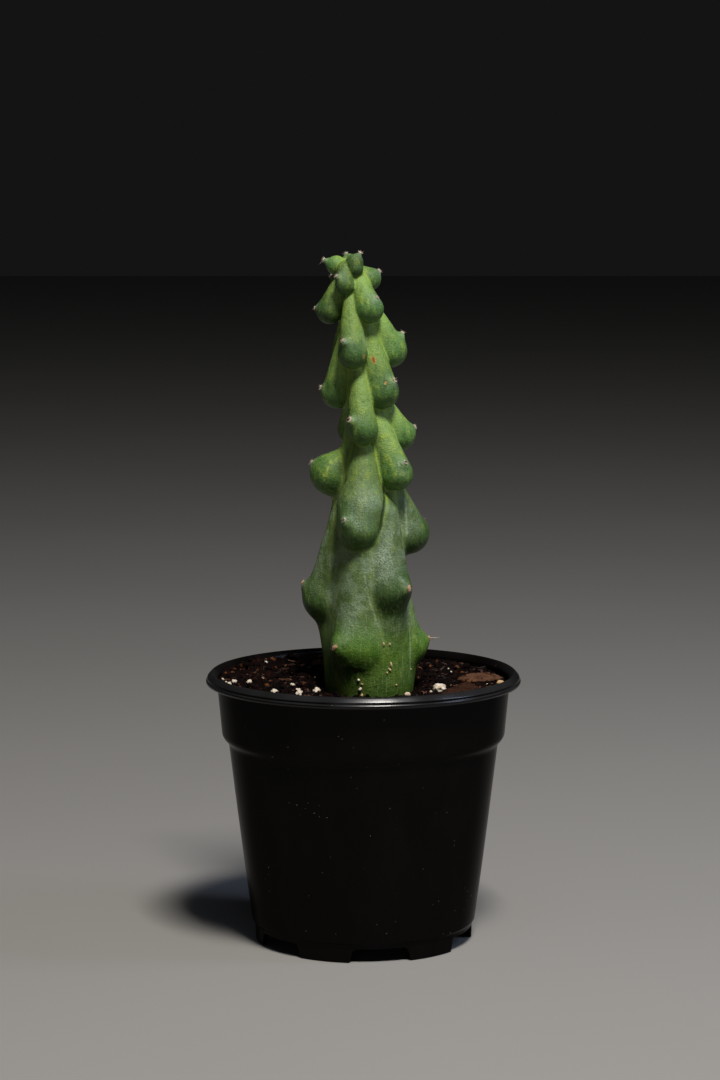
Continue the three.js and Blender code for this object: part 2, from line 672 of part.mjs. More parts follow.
// Materials
const potPlastic = new THREE.MeshStandardMaterial({ color: 0x121212, roughness: 0.32, metalness: 0 });
const pottingSoil = new THREE.MeshStandardMaterial({ color: 0x2b1a12, roughness: 1, metalness: 0 });
const cactusSkin = new THREE.MeshStandardMaterial({ color: 0x5b8a3c, roughness: 0.55, metalness: 0 });
const perliteSkin = new THREE.MeshStandardMaterial({ color: 0xe9e2d2, roughness: 0.9, metalness: 0 });
const barkSkin = new THREE.MeshStandardMaterial({ color: 0x8a5a40, roughness: 0.9, metalness: 0 });

function named(name, geometry, material) {
  const mesh = new THREE.Mesh(geometry, material);
  mesh.name = name;
  return mesh;
}

const { pieces, pockets } = loosePieces();
const cactus = new THREE.Group();
cactus.add(named("pot", pot(), potPlastic));
cactus.add(named("soil", soil(pockets), pottingSoil));
cactus.add(named("cactus_stem", stem(), cactusSkin));
for (const { name, geometry, material } of pieces) cactus.add(named(name, geometry, material));

export default cactus;
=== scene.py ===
import functools
import math
import bmesh
import bpy
import numpy as np
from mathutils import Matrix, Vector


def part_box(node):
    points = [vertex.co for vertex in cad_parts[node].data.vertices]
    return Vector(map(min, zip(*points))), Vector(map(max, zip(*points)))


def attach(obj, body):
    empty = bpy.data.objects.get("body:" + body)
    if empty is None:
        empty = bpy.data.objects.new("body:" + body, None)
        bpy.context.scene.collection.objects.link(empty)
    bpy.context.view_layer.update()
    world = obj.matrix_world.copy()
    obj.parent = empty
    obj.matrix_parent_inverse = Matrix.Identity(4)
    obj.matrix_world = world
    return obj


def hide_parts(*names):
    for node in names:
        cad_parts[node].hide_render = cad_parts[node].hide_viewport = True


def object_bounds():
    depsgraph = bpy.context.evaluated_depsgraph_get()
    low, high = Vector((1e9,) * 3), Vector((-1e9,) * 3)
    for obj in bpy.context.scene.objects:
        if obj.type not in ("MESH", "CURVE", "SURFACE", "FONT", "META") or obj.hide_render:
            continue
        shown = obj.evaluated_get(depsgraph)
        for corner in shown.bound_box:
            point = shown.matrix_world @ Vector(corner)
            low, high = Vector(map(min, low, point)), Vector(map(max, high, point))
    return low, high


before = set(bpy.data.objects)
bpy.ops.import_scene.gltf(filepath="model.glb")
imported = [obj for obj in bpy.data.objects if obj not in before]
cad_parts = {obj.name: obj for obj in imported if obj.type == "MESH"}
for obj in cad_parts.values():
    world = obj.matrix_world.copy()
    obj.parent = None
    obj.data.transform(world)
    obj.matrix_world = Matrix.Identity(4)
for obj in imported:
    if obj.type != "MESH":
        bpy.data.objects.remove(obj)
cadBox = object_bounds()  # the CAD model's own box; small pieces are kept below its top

# A breast-shaped cactus in a black nursery pot. Sizes are in millimetres until a mesh is made.
# Azimuths are in degrees from the front (-Y) towards the right (+X).
mm = 0.001


# Small tools

def linearColour(hexText):  # sRGB hex to the linear colour that the shader wants
    channels = [int(hexText[i:i + 2], 16) / 255 for i in (0, 2, 4)]
    return [c / 12.92 if c <= 0.04045 else ((c + 0.055) / 1.055) ** 2.4 for c in channels] + [1.0]


def setInputs(node, inputs):  # by name or number: a value, a hex colour, or the socket or node that feeds it
    for key, value in inputs.items():
        if isinstance(value, str):
            value = linearColour(value)
        if isinstance(value, bpy.types.Node):
            value = next(output for output in value.outputs if output.enabled)
        if isinstance(value, bpy.types.NodeSocket):
            node.id_data.links.new(value, node.inputs[key])
        else:
            node.inputs[key].default_value = value


def addNode(tree, kind, *values, **settings):  # values fill its inputs in order, or one dictionary by name
    node = tree.nodes.new("ShaderNode" + kind)
    for name, value in settings.items():
        setattr(node, name, value)
    inUse = [i for i, socket in enumerate(node.inputs) if socket.enabled]
    byName = len(values) == 1 and isinstance(values[0], dict)
    setInputs(node, values[0] if byName else dict(zip(inUse, values)))
    return node


# settings that many nodes share; a Math node with none adds
smooth = {"interpolation_type": "SMOOTHSTEP"}
coloured = {"data_type": "RGBA"}
times = {"operation": "MULTIPLY"}


def newMaterial(name):  # with its shader, a short way to add nodes to it, and the place on the piece
    material = bpy.data.materials.new(name)
    material.use_nodes = True
    add = functools.partial(addNode, material.node_tree)
    return material, material.node_tree.nodes["Principled BSDF"], add, add("TexCoord").outputs["Object"]


def perMetre(*sizes):  # how many blotches of these sizes in mm fit in a metre, along one axis or three
    rates = [1 / (size * mm) for size in sizes]
    return rates if len(rates) > 1 else rates[0]


# Factors: numbers, sockets, or a pattern brought into a range as (pattern, from, to, low, high)
def product(add, *factors):
    made = [add("MapRange", *f, **smooth) if isinstance(f, tuple) else f for f in factors]
    return functools.reduce(lambda first, second: add("Math", first, second, **times), made)


def layered(add, shade, *layers):  # colours over one another; the product of its factors is each one's share
    for colour, *factors in layers:
        shade = add("Mix", product(add, *factors), shade, colour, **coloured)
    return shade


def complete(shader, add, inputs, *reliefs):  # the shader's inputs, and bumps: a pattern and its height in mm
    for pattern, tall in reliefs:
        before = {"Normal": inputs["Normal"]} if "Normal" in inputs else {}
        inputs["Normal"] = add("Bump", {"Height": pattern, "Distance": tall * mm, **before})
    setInputs(shader, inputs)


def meshPiece(name, points, faces, material, attributes=None, smoothShaded=True):
    mesh = bpy.data.meshes.new(name)
    mesh.from_pydata((np.asarray(points) * mm).tolist(), [],
                     faces.tolist() if isinstance(faces, np.ndarray) else faces)
    mesh.update()
    mesh.polygons.foreach_set("use_smooth", [smoothShaded] * len(mesh.polygons))
    for key, values in (attributes or {}).items():
        layer = mesh.attributes.new(key, "FLOAT", "POINT")
        layer.data.foreach_set("value", np.asarray(values, np.float32))
    mesh.materials.append(material)
    piece = bpy.data.objects.new(name, mesh)
    bpy.context.scene.collection.objects.link(piece)
    return piece


def seat(piece, node=None):  # every piece rides the one body; some stand in for a CAD node
    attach(piece, "root")
    if node:
        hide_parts(node)


@functools.cache
def latticeTable(seed):
    return np.random.default_rng(seed).uniform(-1, 1, (32, 32, 32))


def latticeNoise(points, sizeMm, seed):  # smooth noise between -1 and 1
    table = latticeTable(seed)
    spot = np.asarray(points, float) / sizeMm
    base = np.floor(spot).astype(int)
    part = spot - base
    part = part * part * part * (part * (part * 6 - 15) + 10)
    total = np.zeros(len(spot))
    for corner in np.ndindex(2, 2, 2):
        weight = np.prod(np.where(corner, part, 1 - part), axis=1)
        index = (base + corner) % 32
        total += weight * table[index[:, 0], index[:, 1], index[:, 2]]
    return total


def polar(azimuth, reach, height, centre=(0.0, 0.0)):
    turn = math.radians(azimuth)
    return np.array([centre[0] + reach * math.sin(turn), centre[1] - reach * math.cos(turn), height])


def ballMesh(divisions):  # a unit ball of triangles: points and faces
    shape = bmesh.new()
    bmesh.ops.create_icosphere(shape, subdivisions=divisions, radius=1.0)
    points = np.array([v.co[:] for v in shape.verts])
    faces = np.array([[v.index for v in f.verts] for f in shape.faces])
    shape.free()
    return points, faces


def dented(ball, *dents):  # each dent: its depth, how fine, where in the noise, the noise's size and seed
    return ball * sum((depth * latticeNoise(ball * fine + where, size, seed)
                       for depth, fine, where, size, seed in dents), 1)[:, None]


def turned(points, rng):  # turned any way round
    axis, _ = np.linalg.qr(rng.normal(size=(3, 3)))
    return points @ axis


def skinOver(firstPole, rings, lastPole, flip=False):  # a closed skin over rings of equally many points
    columns, last = len(rings[0]), len(rings) - 1
    points = np.concatenate([[firstPole], *rings, [lastPole]])
    k = np.arange(columns)
    at = lambda ring, k: 1 + ring * columns + k % columns
    faces = []
    for i in range(last):
        faces += np.stack([at(i, k), at(i, k + 1), at(i + 1, k + 1), at(i + 1, k)], 1).tolist()
    faces += np.stack([0 * k, at(0, k + 1), at(0, k)], 1).tolist()
    faces += np.stack([0 * k + len(points) - 1, at(last, k), at(last, k + 1)], 1).tolist()
    return points, [face[:1] + face[:0:-1] for face in faces] if flip else faces


def gather(name, shapes, material, smoothShaded=True):  # many small (points, faces, tone) shapes as one piece
    points, faces, tones, start = [], [], [], 0
    for spots, corners, tone in shapes:
        points.append(spots)
        faces.append(np.asarray(corners) + start)
        tones.append(np.full(len(spots), tone))
        start += len(spots)
    points, faces, tones = map(np.concatenate, (points, faces, tones))
    points[:, 2] = np.minimum(points[:, 2], cadBox[1][2] / mm)
    return meshPiece(name, points, faces, material, {"tone": tones}, smoothShaded)


# Camera: a 100 mm lens at 1.5 m, looking down by 7 degrees, as in the photograph

cameraSizes = {"lens": 100, "sensor": 36, "place": (-1.75, -1486, 388.5), "pitchDown": 7.15}

cameraData = bpy.data.cameras.new("camera")
cameraData.lens, cameraData.sensor_width = cameraSizes["lens"], cameraSizes["sensor"]
camera = bpy.data.objects.new("camera", cameraData)
camera.location = np.array(cameraSizes["place"]) * mm
camera.rotation_euler = (math.radians(90 - cameraSizes["pitchDown"]), 0, 0)
bpy.context.scene.collection.objects.link(camera)
bpy.context.scene.camera = camera


# Pot: thin moulded plastic, turned from one profile; between its feet the ring is arched away

potSizes = {
    "columns": 300,
    "notches": 6,
    "firstNotch": 9.0,
    "notchHalf": 15.14,
    "footRadius": 54.6,
    "footHeight": 7.2,
    "ringTop": 8.8,
    "holeRadius": 4.2,
    "holeCircle": 42.0,
    "lipRadius": 79.0,
    "ringInside": 52.0,
    "ringFace": 53.6,
    "waviness": 0.10,
    "waves": ((1, 26, 3), (0.5, 11, 4)),  # share, size, seed of the noise
}

# corners of the profile: radius, height, rounding
potOutside = [
    (52.6, 0.0, 0.5), (54.6, 0.0, 0.6), (55.0, 8.9, 1.2), (56.3, 10.2, 1.4), (62.0, 53.8, 20),
    (67.7, 100.4, 2.2), (70.2, 103.1, 0.9), (71.0, 104.8, 1.2), (73.3, 129.4, 2), (74.1, 133.6, 0.7),
    (76.0, 133.8, 0.5), (77.6, 130.4, 0.4), (78.6, 130.4, 0.4), (79.0, 131.1, 0.4), (78.9, 132.0, 0.5),
    (78.4, 132.5, 0.3), (78.3, 133.6, 0.45), (76.6, 135.5, 0.8),
]
potInside = [
    (75.8, 136.0, 0.6), (74.4, 135.1, 0.9), (72.9, 133.2, 1.2), (70.0, 105.2, 1.2), (66.7, 101.0, 1.2),
    (55.3, 10.6, 1.2), (53.7, 8.8, 1.0), (0.0, 8.8, 0), (0.0, 7.2, 0), (52.6, 7.2, 0.3),
]

# how far past a notch's middle its arch runs, from half its width on, and how high it stands there
archSteps = [(-3.4, 6.9), (-2.6, 6.6), (-1.7, 5.9), (-1.1, 4.9), (-0.1, 0.9), (0.25, 0.2), (0.8, 0.0)]


def roundedProfile(corners):
    out = []
    for i, (r, z, size) in enumerate(corners):
        here = np.array([r, z])
        before, after = (np.array(corners[j % len(corners)][:2]) - here for j in (i - 1, i + 1))
        lengths = np.linalg.norm(before), np.linalg.norm(after)
        if size == 0 or min(lengths) < 1e-6:
            out.append(here)
            continue
        before, after = before / lengths[0], after / lengths[1]
        reach = min(size, 0.45 * lengths[0], 0.45 * lengths[1])
        start, end = here + before * reach, here + after * reach
        for t in np.linspace(0, 1, 6):  # a quadratic curve round the corner
            out.append(start * (1 - t) ** 2 + 2 * here * t * (1 - t) + end * t * t)
    return np.array(out)


def densified(profile, longest):  # splits long straight stretches of the profile
    out = []
    for a, b in zip(profile, np.roll(profile, -1, axis=0)):
        steps = max(1, int(math.ceil(np.linalg.norm(b - a) / longest)))
        out += [a + (b - a) * k / steps for k in range(steps)]
    return np.array(out)


def archHeight(azimuth):  # height of the ring's lower edge: 0 on the feet, up in the arches
    pitch = 360 / potSizes["notches"]
    off = (azimuth - potSizes["firstNotch"] + pitch / 2) % pitch - pitch / 2
    across = np.abs(potSizes["footRadius"] * np.sin(np.radians(off)))
    places, heights = np.transpose(archSteps)
    return np.interp(across, potSizes["notchHalf"] + places, heights)


def potAzimuths():  # even steps, and finer ones at the notches' edges
    even = np.arange(0, 360, 360 / potSizes["columns"])
    pitch = 360 / potSizes["notches"]
    edge = np.degrees(np.arcsin(np.linspace(potSizes["notchHalf"] - 3.6, potSizes["notchHalf"] + 1, 16)
                                / potSizes["footRadius"]))
    keep = np.array([archHeight(a) in (0.0, archSteps[0][1]) for a in even])
    extra = [potSizes["firstNotch"] + pitch * i + side * e for i in range(potSizes["notches"])
             for side in (-1, 1) for e in edge]
    return np.unique(np.round(np.concatenate([even[keep], np.mod(extra, 360)]), 3))


def makePot(material):
    profile = densified(roundedProfile(potOutside + potInside), 4.0)
    azimuths = potAzimuths()
    columns, rows = len(azimuths), len(profile)
    turn = np.radians(azimuths)[:, None]
    r, z = np.tile(profile[:, 0], (columns, 1)), np.tile(profile[:, 1], (columns, 1))
    arch = archHeight(azimuths)[:, None]
    ring = (r > potSizes["ringInside"]) & (z < potSizes["ringTop"])
    top = np.where(r > potSizes["ringFace"], potSizes["ringTop"], potSizes["footHeight"])
    z = np.where(ring & (z < top), arch + z * (1 - arch / top), z)
    # the thin wall isn't perfectly round or flat, which bends its reflections
    flat = np.stack([60 * np.sin(turn) + 0 * r, 60 * np.cos(turn) + 0 * r, z * 0.6], -1).reshape(-1, 3)
    wave = sum(share * latticeNoise(flat, size, seed) for share, size, seed in potSizes["waves"])
    bend = potSizes["waviness"] * wave.reshape(r.shape) * np.clip((r - 20) / 30, 0, 1)
    r = np.minimum(r + bend, potSizes["lipRadius"])
    points = np.stack([r * np.sin(turn), -r * np.cos(turn), z], -1).reshape(-1, 3)
    number = np.arange(columns * rows).reshape(columns, rows)
    number[:, profile[:, 0] < 1e-6] = number[0, profile[:, 0] < 1e-6]  # one point for all columns at the axis
    beside, above = np.roll(number, -1, axis=0), np.roll(number, -1, axis=1)
    loops = np.stack([number, beside, np.roll(beside, -1, axis=1), above], -1).reshape(-1, 4)
    faces = [face for face in (list(dict.fromkeys(loop)) for loop in loops.tolist()) if len(face) > 2]
    piece = meshPiece("nursery_pot", points, faces, material)
    shape = bmesh.new()
    shape.from_mesh(piece.data)
    bmesh.ops.delete(shape, geom=[v for v in shape.verts if not v.link_faces], context="VERTS")
    bmesh.ops.recalc_face_normals(shape, faces=shape.faces)
    shape.to_mesh(piece.data)
    shape.free()
    return piece


def cutHoles(piece):
    cutter = bmesh.new()
    radius = potSizes["holeRadius"] * mm
    for i in range(potSizes["notches"]):
        azimuth = potSizes["firstNotch"] + 360 / potSizes["notches"] * i
        made = bmesh.ops.create_cone(cutter, cap_ends=True, segments=40, radius1=radius, radius2=radius,
                                     depth=6 * mm)
        bmesh.ops.translate(cutter, verts=made["verts"], vec=polar(azimuth, potSizes["holeCircle"], 8) * mm)
    mesh = bpy.data.meshes.new("drainCutter")
    cutter.to_mesh(mesh)
    cutter.free()
    cutterPiece = bpy.data.objects.new("drainCutter", mesh)
    bpy.context.scene.collection.objects.link(cutterPiece)
    cut = piece.modifiers.new("drain", "BOOLEAN")
    cut.operation, cut.solver, cut.object = "DIFFERENCE", "MANIFOLD", cutterPiece
    bpy.context.view_layer.update()
    result = bpy.data.meshes.new_from_object(piece.evaluated_get(bpy.context.evaluated_depsgraph_get()))
    piece.modifiers.clear()
    piece.data = result
    bpy.data.objects.remove(cutterPiece)


# specks on the wall: the size of a cell and of a speck in mm, and the share of the cells with one
potSpecks = {"coarse": (5.5, 0.55, 0.45), "fine": (2.2, 0.26, 0.35), "splash": (9, 1.5, 0.22)}


# Injection-moulded polypropylene, black: satin gloss, a brown cast, settled dust, dried water marks
def makePotPlastic():
    material, shader, add, place = newMaterial("polypropylene moulded black")
    smear = add("TexNoise", add("Mapping", {"Vector": place, "Scale": perMetre(24, 24, 60)}), 1, 4)
    specks = []
    for cell, dot, share in potSpecks.values():
        cells = add("TexVoronoi", place, perMetre(cell))
        chosen = add("Math", add("SeparateColor", cells.outputs["Color"]), share, operation="LESS_THAN")
        specks.append(product(add, (cells.outputs["Distance"], 0.5 * dot / cell, 0.3 * dot / cell), chosen))
    coarse, fine, splash = specks
    dirt = add("Math", coarse, product(add, fine, 0.6), operation="MAXIMUM")
    splash = product(add, splash, (add("TexNoise", place, perMetre(60)), 0.5, 0.62), 0.35)
    marks = add("Math", product(add, dirt, 0.8), splash, operation="MAXIMUM")
    upward = add("SeparateXYZ", add("NewGeometry").outputs["Normal"]).outputs["Z"]
    depth, height = [add("SeparateXYZ", place).outputs[axis] for axis in "YZ"]
    shade = layered(
        add, "060403", ("0c0908", (smear, 0.42, 0.75)),
        # dust settles on what faces up; less of it on the far side
        ("29292a", (upward, 0.08, 0.5), (smear, 0.3, 0.65, 0.6, 1), (depth, 0.045, -0.04, 0.1, 1)),
        ("6d635c", marks))
    # the rim is polished; the wall below mirrors little where it turns away from the eye
    wall = product(add, (add("LayerWeight").outputs["Facing"], 0.1, 0.6, 0.09, 0.012))
    fromAxis = add("VectorMath", add("VectorMath", place, (1, 1, 0), **times), operation="LENGTH")
    rim = product(add, (height, 0.1296, 0.1306), (fromAxis, 0.0755, 0.077), 0.3)
    # for the export, which drops its link
    shader.inputs["Specular IOR Level"].default_value = 0.1  # the plain value, for where its link is dropped
    complete(shader, add, {
        "Base Color": shade, "IOR": 1.49, "Specular IOR Level": add("Math", wall, rim),
        "Roughness": add("Math", product(add, (smear, 0.3, 0.8, 0.17, 0.28)), product(add, dirt, 0.4))},
        (add("TexNoise", place, perMetre(0.9)), 0.006))
    return material


potPiece = makePot(makePotPlastic())
cutHoles(potPiece)
seat(potPiece, "pot")
print("pot:", len(potPiece.data.polygons), "faces")


# Stem: one grown body. Six ribs of tubercles round a core; each tubercle is a skirt that hangs from
# between its upper neighbours, a round belly and a nose with the areole.

stemSizes = {
    "soilLevel": 129.0,
    "top": 336.0,
    "foot": 120.0,
    "rootBottom": 88.0,
    "rootTop": 122.5,
    "rootRadius": 21.7,
    "radius": 21.9,
    "cell": 0.8,
    "closeTo": 6,  # the fine net is worked out this far from the skin
    "near": 24,  # further from it than this, a cone isn't felt
    "feltBlends": 12,  # nor further than this many times the blend
    "columnBlend": 3,
    "lineStep": 0.04,
    "lineStart": 6,
    "areoleBloom": 3.4,
    "creaseDepth": 0.8,
    "smoothTo": 128,  # no lumps or creases below the soil
    "lumps": ((0.18, (1, 1, 0.6), 7, 21), (0.10, (1, 1, 0.5), 3, 22)),  # depth, stretch, size, seed
}

coreRadius = [(128, 22), (165, 20.2), (190, 18.6), (222, 14.6), (246, 12), (258, 8.9), (306, 5.6), (336, 2)]
columnSlopes = [(126, 0.3), (140, 1.2)]  # from this height on the column may widen by this slope
blendSize = [(128, 2.6), (170, 2.5), (200, 1.8), (240, 1.3), (260, 1), (320, 0.7), (340, 0.45)]

# areole: azimuth, height, reach; belly, skirt root and neck, where it has one: also a radius
ribs = {
    "front": [
        ((-35, 333.6, 14), (-27, 329.3, 9, 4.6), (-38, 337.6, 6.2, 3.4)),
        ((-17, 302.3, 23), (-10, 295.8, 15, 7.3), (-16, 321, 6.7, 3.9)),
        ((-12, 264, 25), (1, 258.9, 16.8, 7.5), (-6, 288, 9, 3.3)),
        ((-20, 215, 29.4), (-13, 209.6, 18.4, 9.9), (-9, 220.5, 15, 10.9), (-2, 248, 12, 4.6)),
        ((-30, 152.6, 30.5), (-21, 150, 17.8, 10.6), (-10, 196, 14, 8)),
    ],
    "frontRight": [
        ((36, 344.4, 6.8), (12, 340, 5, 4.5), (14, 337.2, 6.4, 3.9)),
        ((39, 322.6, 18), (36, 317.6, 12, 7), (36, 333, 4, 3.6)),
        ((54.7, 282, 21.5), (54, 276.7, 13.4, 8.2), (46, 314, 4.6, 3.2)),
        ((51.3, 241.8, 27), (57.4, 235.8, 19.3, 7.6), (46, 272, 6.6, 3.4)),
        ((38.2, 181.5, 30.4), (34, 179.6, 20.2, 9.2), (37, 216, 12.6, 8.4)),
    ],
    "right": [
        ((97, 335.4, 13.6), (97, 331.9, 8.3, 5.6), (97, 334.3, 4.6, 4.4)),
        ((100, 304.2, 24), (100, 296.2, 16.6, 8.1), (98, 318, 5.5, 5.6)),
        ((102, 257.8, 26.6), (102, 254.2, 18.8, 7.6), (100, 265, 12, 6.4)),
        ((112, 209.5, 31.5), (106, 204.6, 22, 9.8), (104, 238, 9, 4.5)),
        ((98, 151.4, 29.8), (98, 147.9, 21.2, 6.8), (98, 178, 13, 5.5)),
    ],
    "backRight": [
        ((205, 343.5, 7.5), (195, 339.6, 4.5, 4.6), (190, 332, 2.5, 3)),
        ((160, 321, 18.5), (158, 316.5, 12, 6.8), (160, 333, 4, 3.6)),
        ((152, 281, 22.5), (156, 275.5, 13.8, 8.1), (158, 305, 4, 3.8)),
        ((166, 240, 27.5), (161, 235.5, 18.8, 8.6), (160, 254, 9, 4.5)),
        ((161, 178, 32), (161, 171.5, 22.5, 9.4), (160, 215, 10.5, 6)),
    ],
    "backLeft": [
        ((-128, 333, 14), (-130, 329.5, 8.2, 4.8), (-134, 337, 4, 3)),
        ((-153, 302, 20.5), (-152, 296, 13, 6.9), (-150, 321, 4, 3.6)),
        ((-162, 260, 24), (-160, 256, 15.5, 7.2), (-156, 283, 5, 3.8)),
        ((-150, 212, 30), (-155, 208, 19.5, 10.2), (-154, 243, 9, 4.5)),
        ((-146, 153.5, 31), (-148, 148, 21, 9.6), (-150, 188, 13, 6)),
    ],
    "left": [
        ((-88, 341.4, 14.4), (-88, 338.7, 8, 4.8), (-88, 337.6, 4.6, 4.4)),
        ((-94, 318, 19.7), (-94, 316.5, 12.4, 6.7), (-92, 332, 4.5, 4.4)),
        ((-92, 278.3, 19.6), (-92, 275.6, 11.8, 7.6), (-92, 306, 4.5, 3.8)),
        ((-93, 240.1, 26.4), (-93, 234.9, 16.4, 10.6), (-93, 243, 8, 5.5)),
        ((-96, 179, 33), (-96, 171.8, 23, 8.9), (-94, 221, 10, 5.5)),
    ],
}

footShare = {"front": 0.95, "frontRight": 0.7}  # how thick the lowest tubercle runs on into the soil


def along(table, z):
    return np.interp(z, [row[0] for row in table], [row[1] for row in table])


def stemAxis(z):
    t = np.clip((z - stemSizes["soilLevel"]) / (stemSizes["top"] - stemSizes["soilLevel"]), 0, 1)
    return 2.9 - 8.4 * t + 2 * np.sin(np.pi * t), 1.5 * np.sin(np.pi * t)


def tubercleParts(rib, rank):
    areole, belly, root = ribs[rib][rank][:3]
    place = lambda row: polar(row[0], row[2], row[1], stemAxis(row[1]))
    size = belly[3]
    middle = place(belly)
    noseSize = 0.3 * size
    nose = place((areole[0], areole[1] - 0.4 * noseSize, areole[2] - noseSize))
    bodies = [(place(root), middle, root[3], size), (middle, nose, 0.7 * size, noseSize)]
    bodies += [(place(neck), place(root), neck[3], root[3]) for neck in ribs[rib][rank][3:]]
    if rank == len(ribs[rib]) - 1:  # the lowest one runs on into the soil
        foot = polar(belly[0], stemSizes["radius"] - 7.5, stemSizes["rootTop"],
                     stemAxis(stemSizes["soilLevel"]))
        share = footShare.get(rib, 0.45)
        bodies.append((middle, foot, share * size, 7 * share))
    out = (nose - middle) / np.linalg.norm(nose - middle)
    return {"bodies": bodies, "nose": nose, "out": out, "middle": middle, "size": size, "rank": rank,
            "rib": rib}


tubercles = [tubercleParts(rib, rank) for rib in ribs for rank in range(len(ribs[rib]))]


def roundCone(points, body):  # signed distance to a cone between two balls
    a, b, ra, rb = body
    run = b - a
    off = points - a
    l2 = run @ run
    rr = ra - rb
    a2 = l2 - rr * rr
    ahead = off @ run
    beyond = ahead - l2
    side = off * l2 - run * ahead[:, None]
    x2 = np.einsum("ij,ij->i", side, side)
    y2, z2 = ahead * ahead * l2, beyond * beyond * l2
    k = np.sign(rr) * rr * rr * x2
    tip = np.sqrt(x2 + z2) / l2 - rb
    root = np.sqrt(x2 + y2) / l2 - ra
    wall = (np.sqrt(x2 * a2 / l2) + ahead * rr) / l2 - ra
    return np.where(np.sign(beyond) * a2 * z2 > k, tip, np.where(np.sign(ahead) * a2 * y2 < k, root, wall))


def stemField(points, shares=None):  # negative inside; shares gets each tubercle's part of the blend
    x, y, z = points.T
    blend = along(blendSize, z)
    axisX, axisY = stemAxis(z)
    over = np.maximum(0, z - stemSizes["top"])
    core = np.sqrt((x - axisX) ** 2 + (y - axisY) ** 2 + over ** 2) - along(coreRadius, z)
    total = np.exp(np.clip(-core / blend, -60, 60))
    if shares is not None:
        shares[:, -1] = total
    for t, tubercle in enumerate(tubercles):
        for body in tubercle["bodies"]:
            a, b, ra, rb = body
            low = np.minimum(a - ra, b - rb) - stemSizes["near"]
            high = np.maximum(a + ra, b + rb) + stemSizes["near"]
            near = np.flatnonzero(np.all((points > low) & (points < high), axis=1))
            if len(near) == 0:
                continue
            d = roundCone(points[near], body)
            felt = d < stemSizes["feltBlends"] * blend[near]
            part = np.where(felt, np.exp(np.clip(-d / blend[near], -60, 60)), 0)
            total[near] += part
            if shares is not None:
                shares[near, t] += part
    skin = -blend * np.log(total)
    # a round column at the soil, and the stump below it
    baseX, baseY = stemAxis(stemSizes["soilLevel"])
    fromBase = np.hypot(x - baseX, y - baseY)
    allowed = sum((slope * np.maximum(0, z - start) for start, slope in columnSlopes),
                  stemSizes["radius"] + 1)
    column = fromBase - allowed
    soft = stemSizes["columnBlend"]
    gap = np.maximum(0, soft - np.abs(skin - column))
    body = np.maximum(np.maximum(skin, column) + gap * gap / (4 * soft), stemSizes["foot"] - z)
    rise = (z - stemSizes["rootBottom"]) / (stemSizes["rootTop"] - stemSizes["rootBottom"])
    stump = np.maximum(fromBase - (stemSizes["rootRadius"] - 1 + rise),
                       np.maximum(z - stemSizes["rootTop"], stemSizes["rootBottom"] - z))
    return np.minimum(body, stump)


def skinNet(field, xs, ys, zs):
    # surface nets: one point in each cell that the surface crosses, four cells round each crossed edge
    grid = np.stack(np.meshgrid(xs, ys, zs, indexing="ij"), -1)
    step = 4  # a coarse pass first, then full fineness only near the skin
    coarse = grid[::step, ::step, ::step]
    rough = field(coarse.reshape(-1, 3)).reshape(coarse.shape[:3])
    nearest = [np.minimum((np.arange(n) + step // 2) // step, m - 1) for n, m in zip(grid.shape, rough.shape)]
    values = rough[np.ix_(*nearest)]
    close = (np.abs(values) < stemSizes["closeTo"]) | (zs < stemSizes["foot"] + 1)
    values[close] = field(grid[close])
    inside = values < 0
    corners = np.array(list(np.ndindex(2, 2, 2)))
    last = np.array(inside.shape) - 1
    count = sum(inside[a:last[0] + a, b:last[1] + b, c:last[2] + c].astype(int) for a, b, c in corners)
    cells = np.argwhere((count > 0) & (count < 8))
    at = cells[:, None, :] + corners[None]
    v = values[at[..., 0], at[..., 1], at[..., 2]]
    spots = grid[at[..., 0], at[..., 1], at[..., 2]]
    total, crossings = np.zeros((len(cells), 3)), np.zeros(len(cells))
    edges = [(m, n) for m in range(8) for n in range(m + 1, 8) if np.abs(corners[m] - corners[n]).sum() == 1]
    for m, n in edges:
        cross = (v[:, m] < 0) != (v[:, n] < 0)
        share = np.where(cross, v[:, m] / np.where(cross, v[:, m] - v[:, n], 1), 0)
        total += np.where(cross[:, None], spots[:, m] + share[:, None] * (spots[:, n] - spots[:, m]), 0)
        crossings += cross
    number = np.full(count.shape, -1)
    number[tuple(cells.T)] = np.arange(len(cells))
    faces = []
    for axis in range(3):
        first, second = [np.eye(3, dtype=int)[(axis + k) % 3] for k in (1, 2)]
        edges = np.argwhere(np.diff(inside, axis=axis))
        edges = edges[np.all((edges >= first) & (edges >= second), axis=1)]
        loop = [edges - first - second, edges - second, edges, edges - first]
        quad = np.stack([number[tuple(cell.T)] for cell in loop], 1)
        outward = inside[tuple(edges.T)]
        quad[~outward] = quad[~outward][:, ::-1]
        faces.append(quad)
    return total / crossings[:, None], np.concatenate(faces)


def slopeOf(field, points, h=0.05):
    here = field(points)
    return here, np.stack([field(points + h * side) - here for side in np.eye(3)], 1) / h


def skinAt(start, out, reach=12):  # where a line from inside leaves the stem
    steps = np.arange(0, reach, stemSizes["lineStep"])
    return start + out * steps[np.argmax(stemField(start + out * steps[:, None]) > 0)]


def skinRound(azimuth, z):  # the skin at an azimuth and height, and the way out there
    way = polar(azimuth, 1, 0)
    return skinAt(np.array([*stemAxis(z), z]) + stemSizes["lineStart"] * way, way, 34), way


for tubercle in tubercles:
    tubercle["tip"] = skinAt(tubercle["nose"], tubercle["out"])
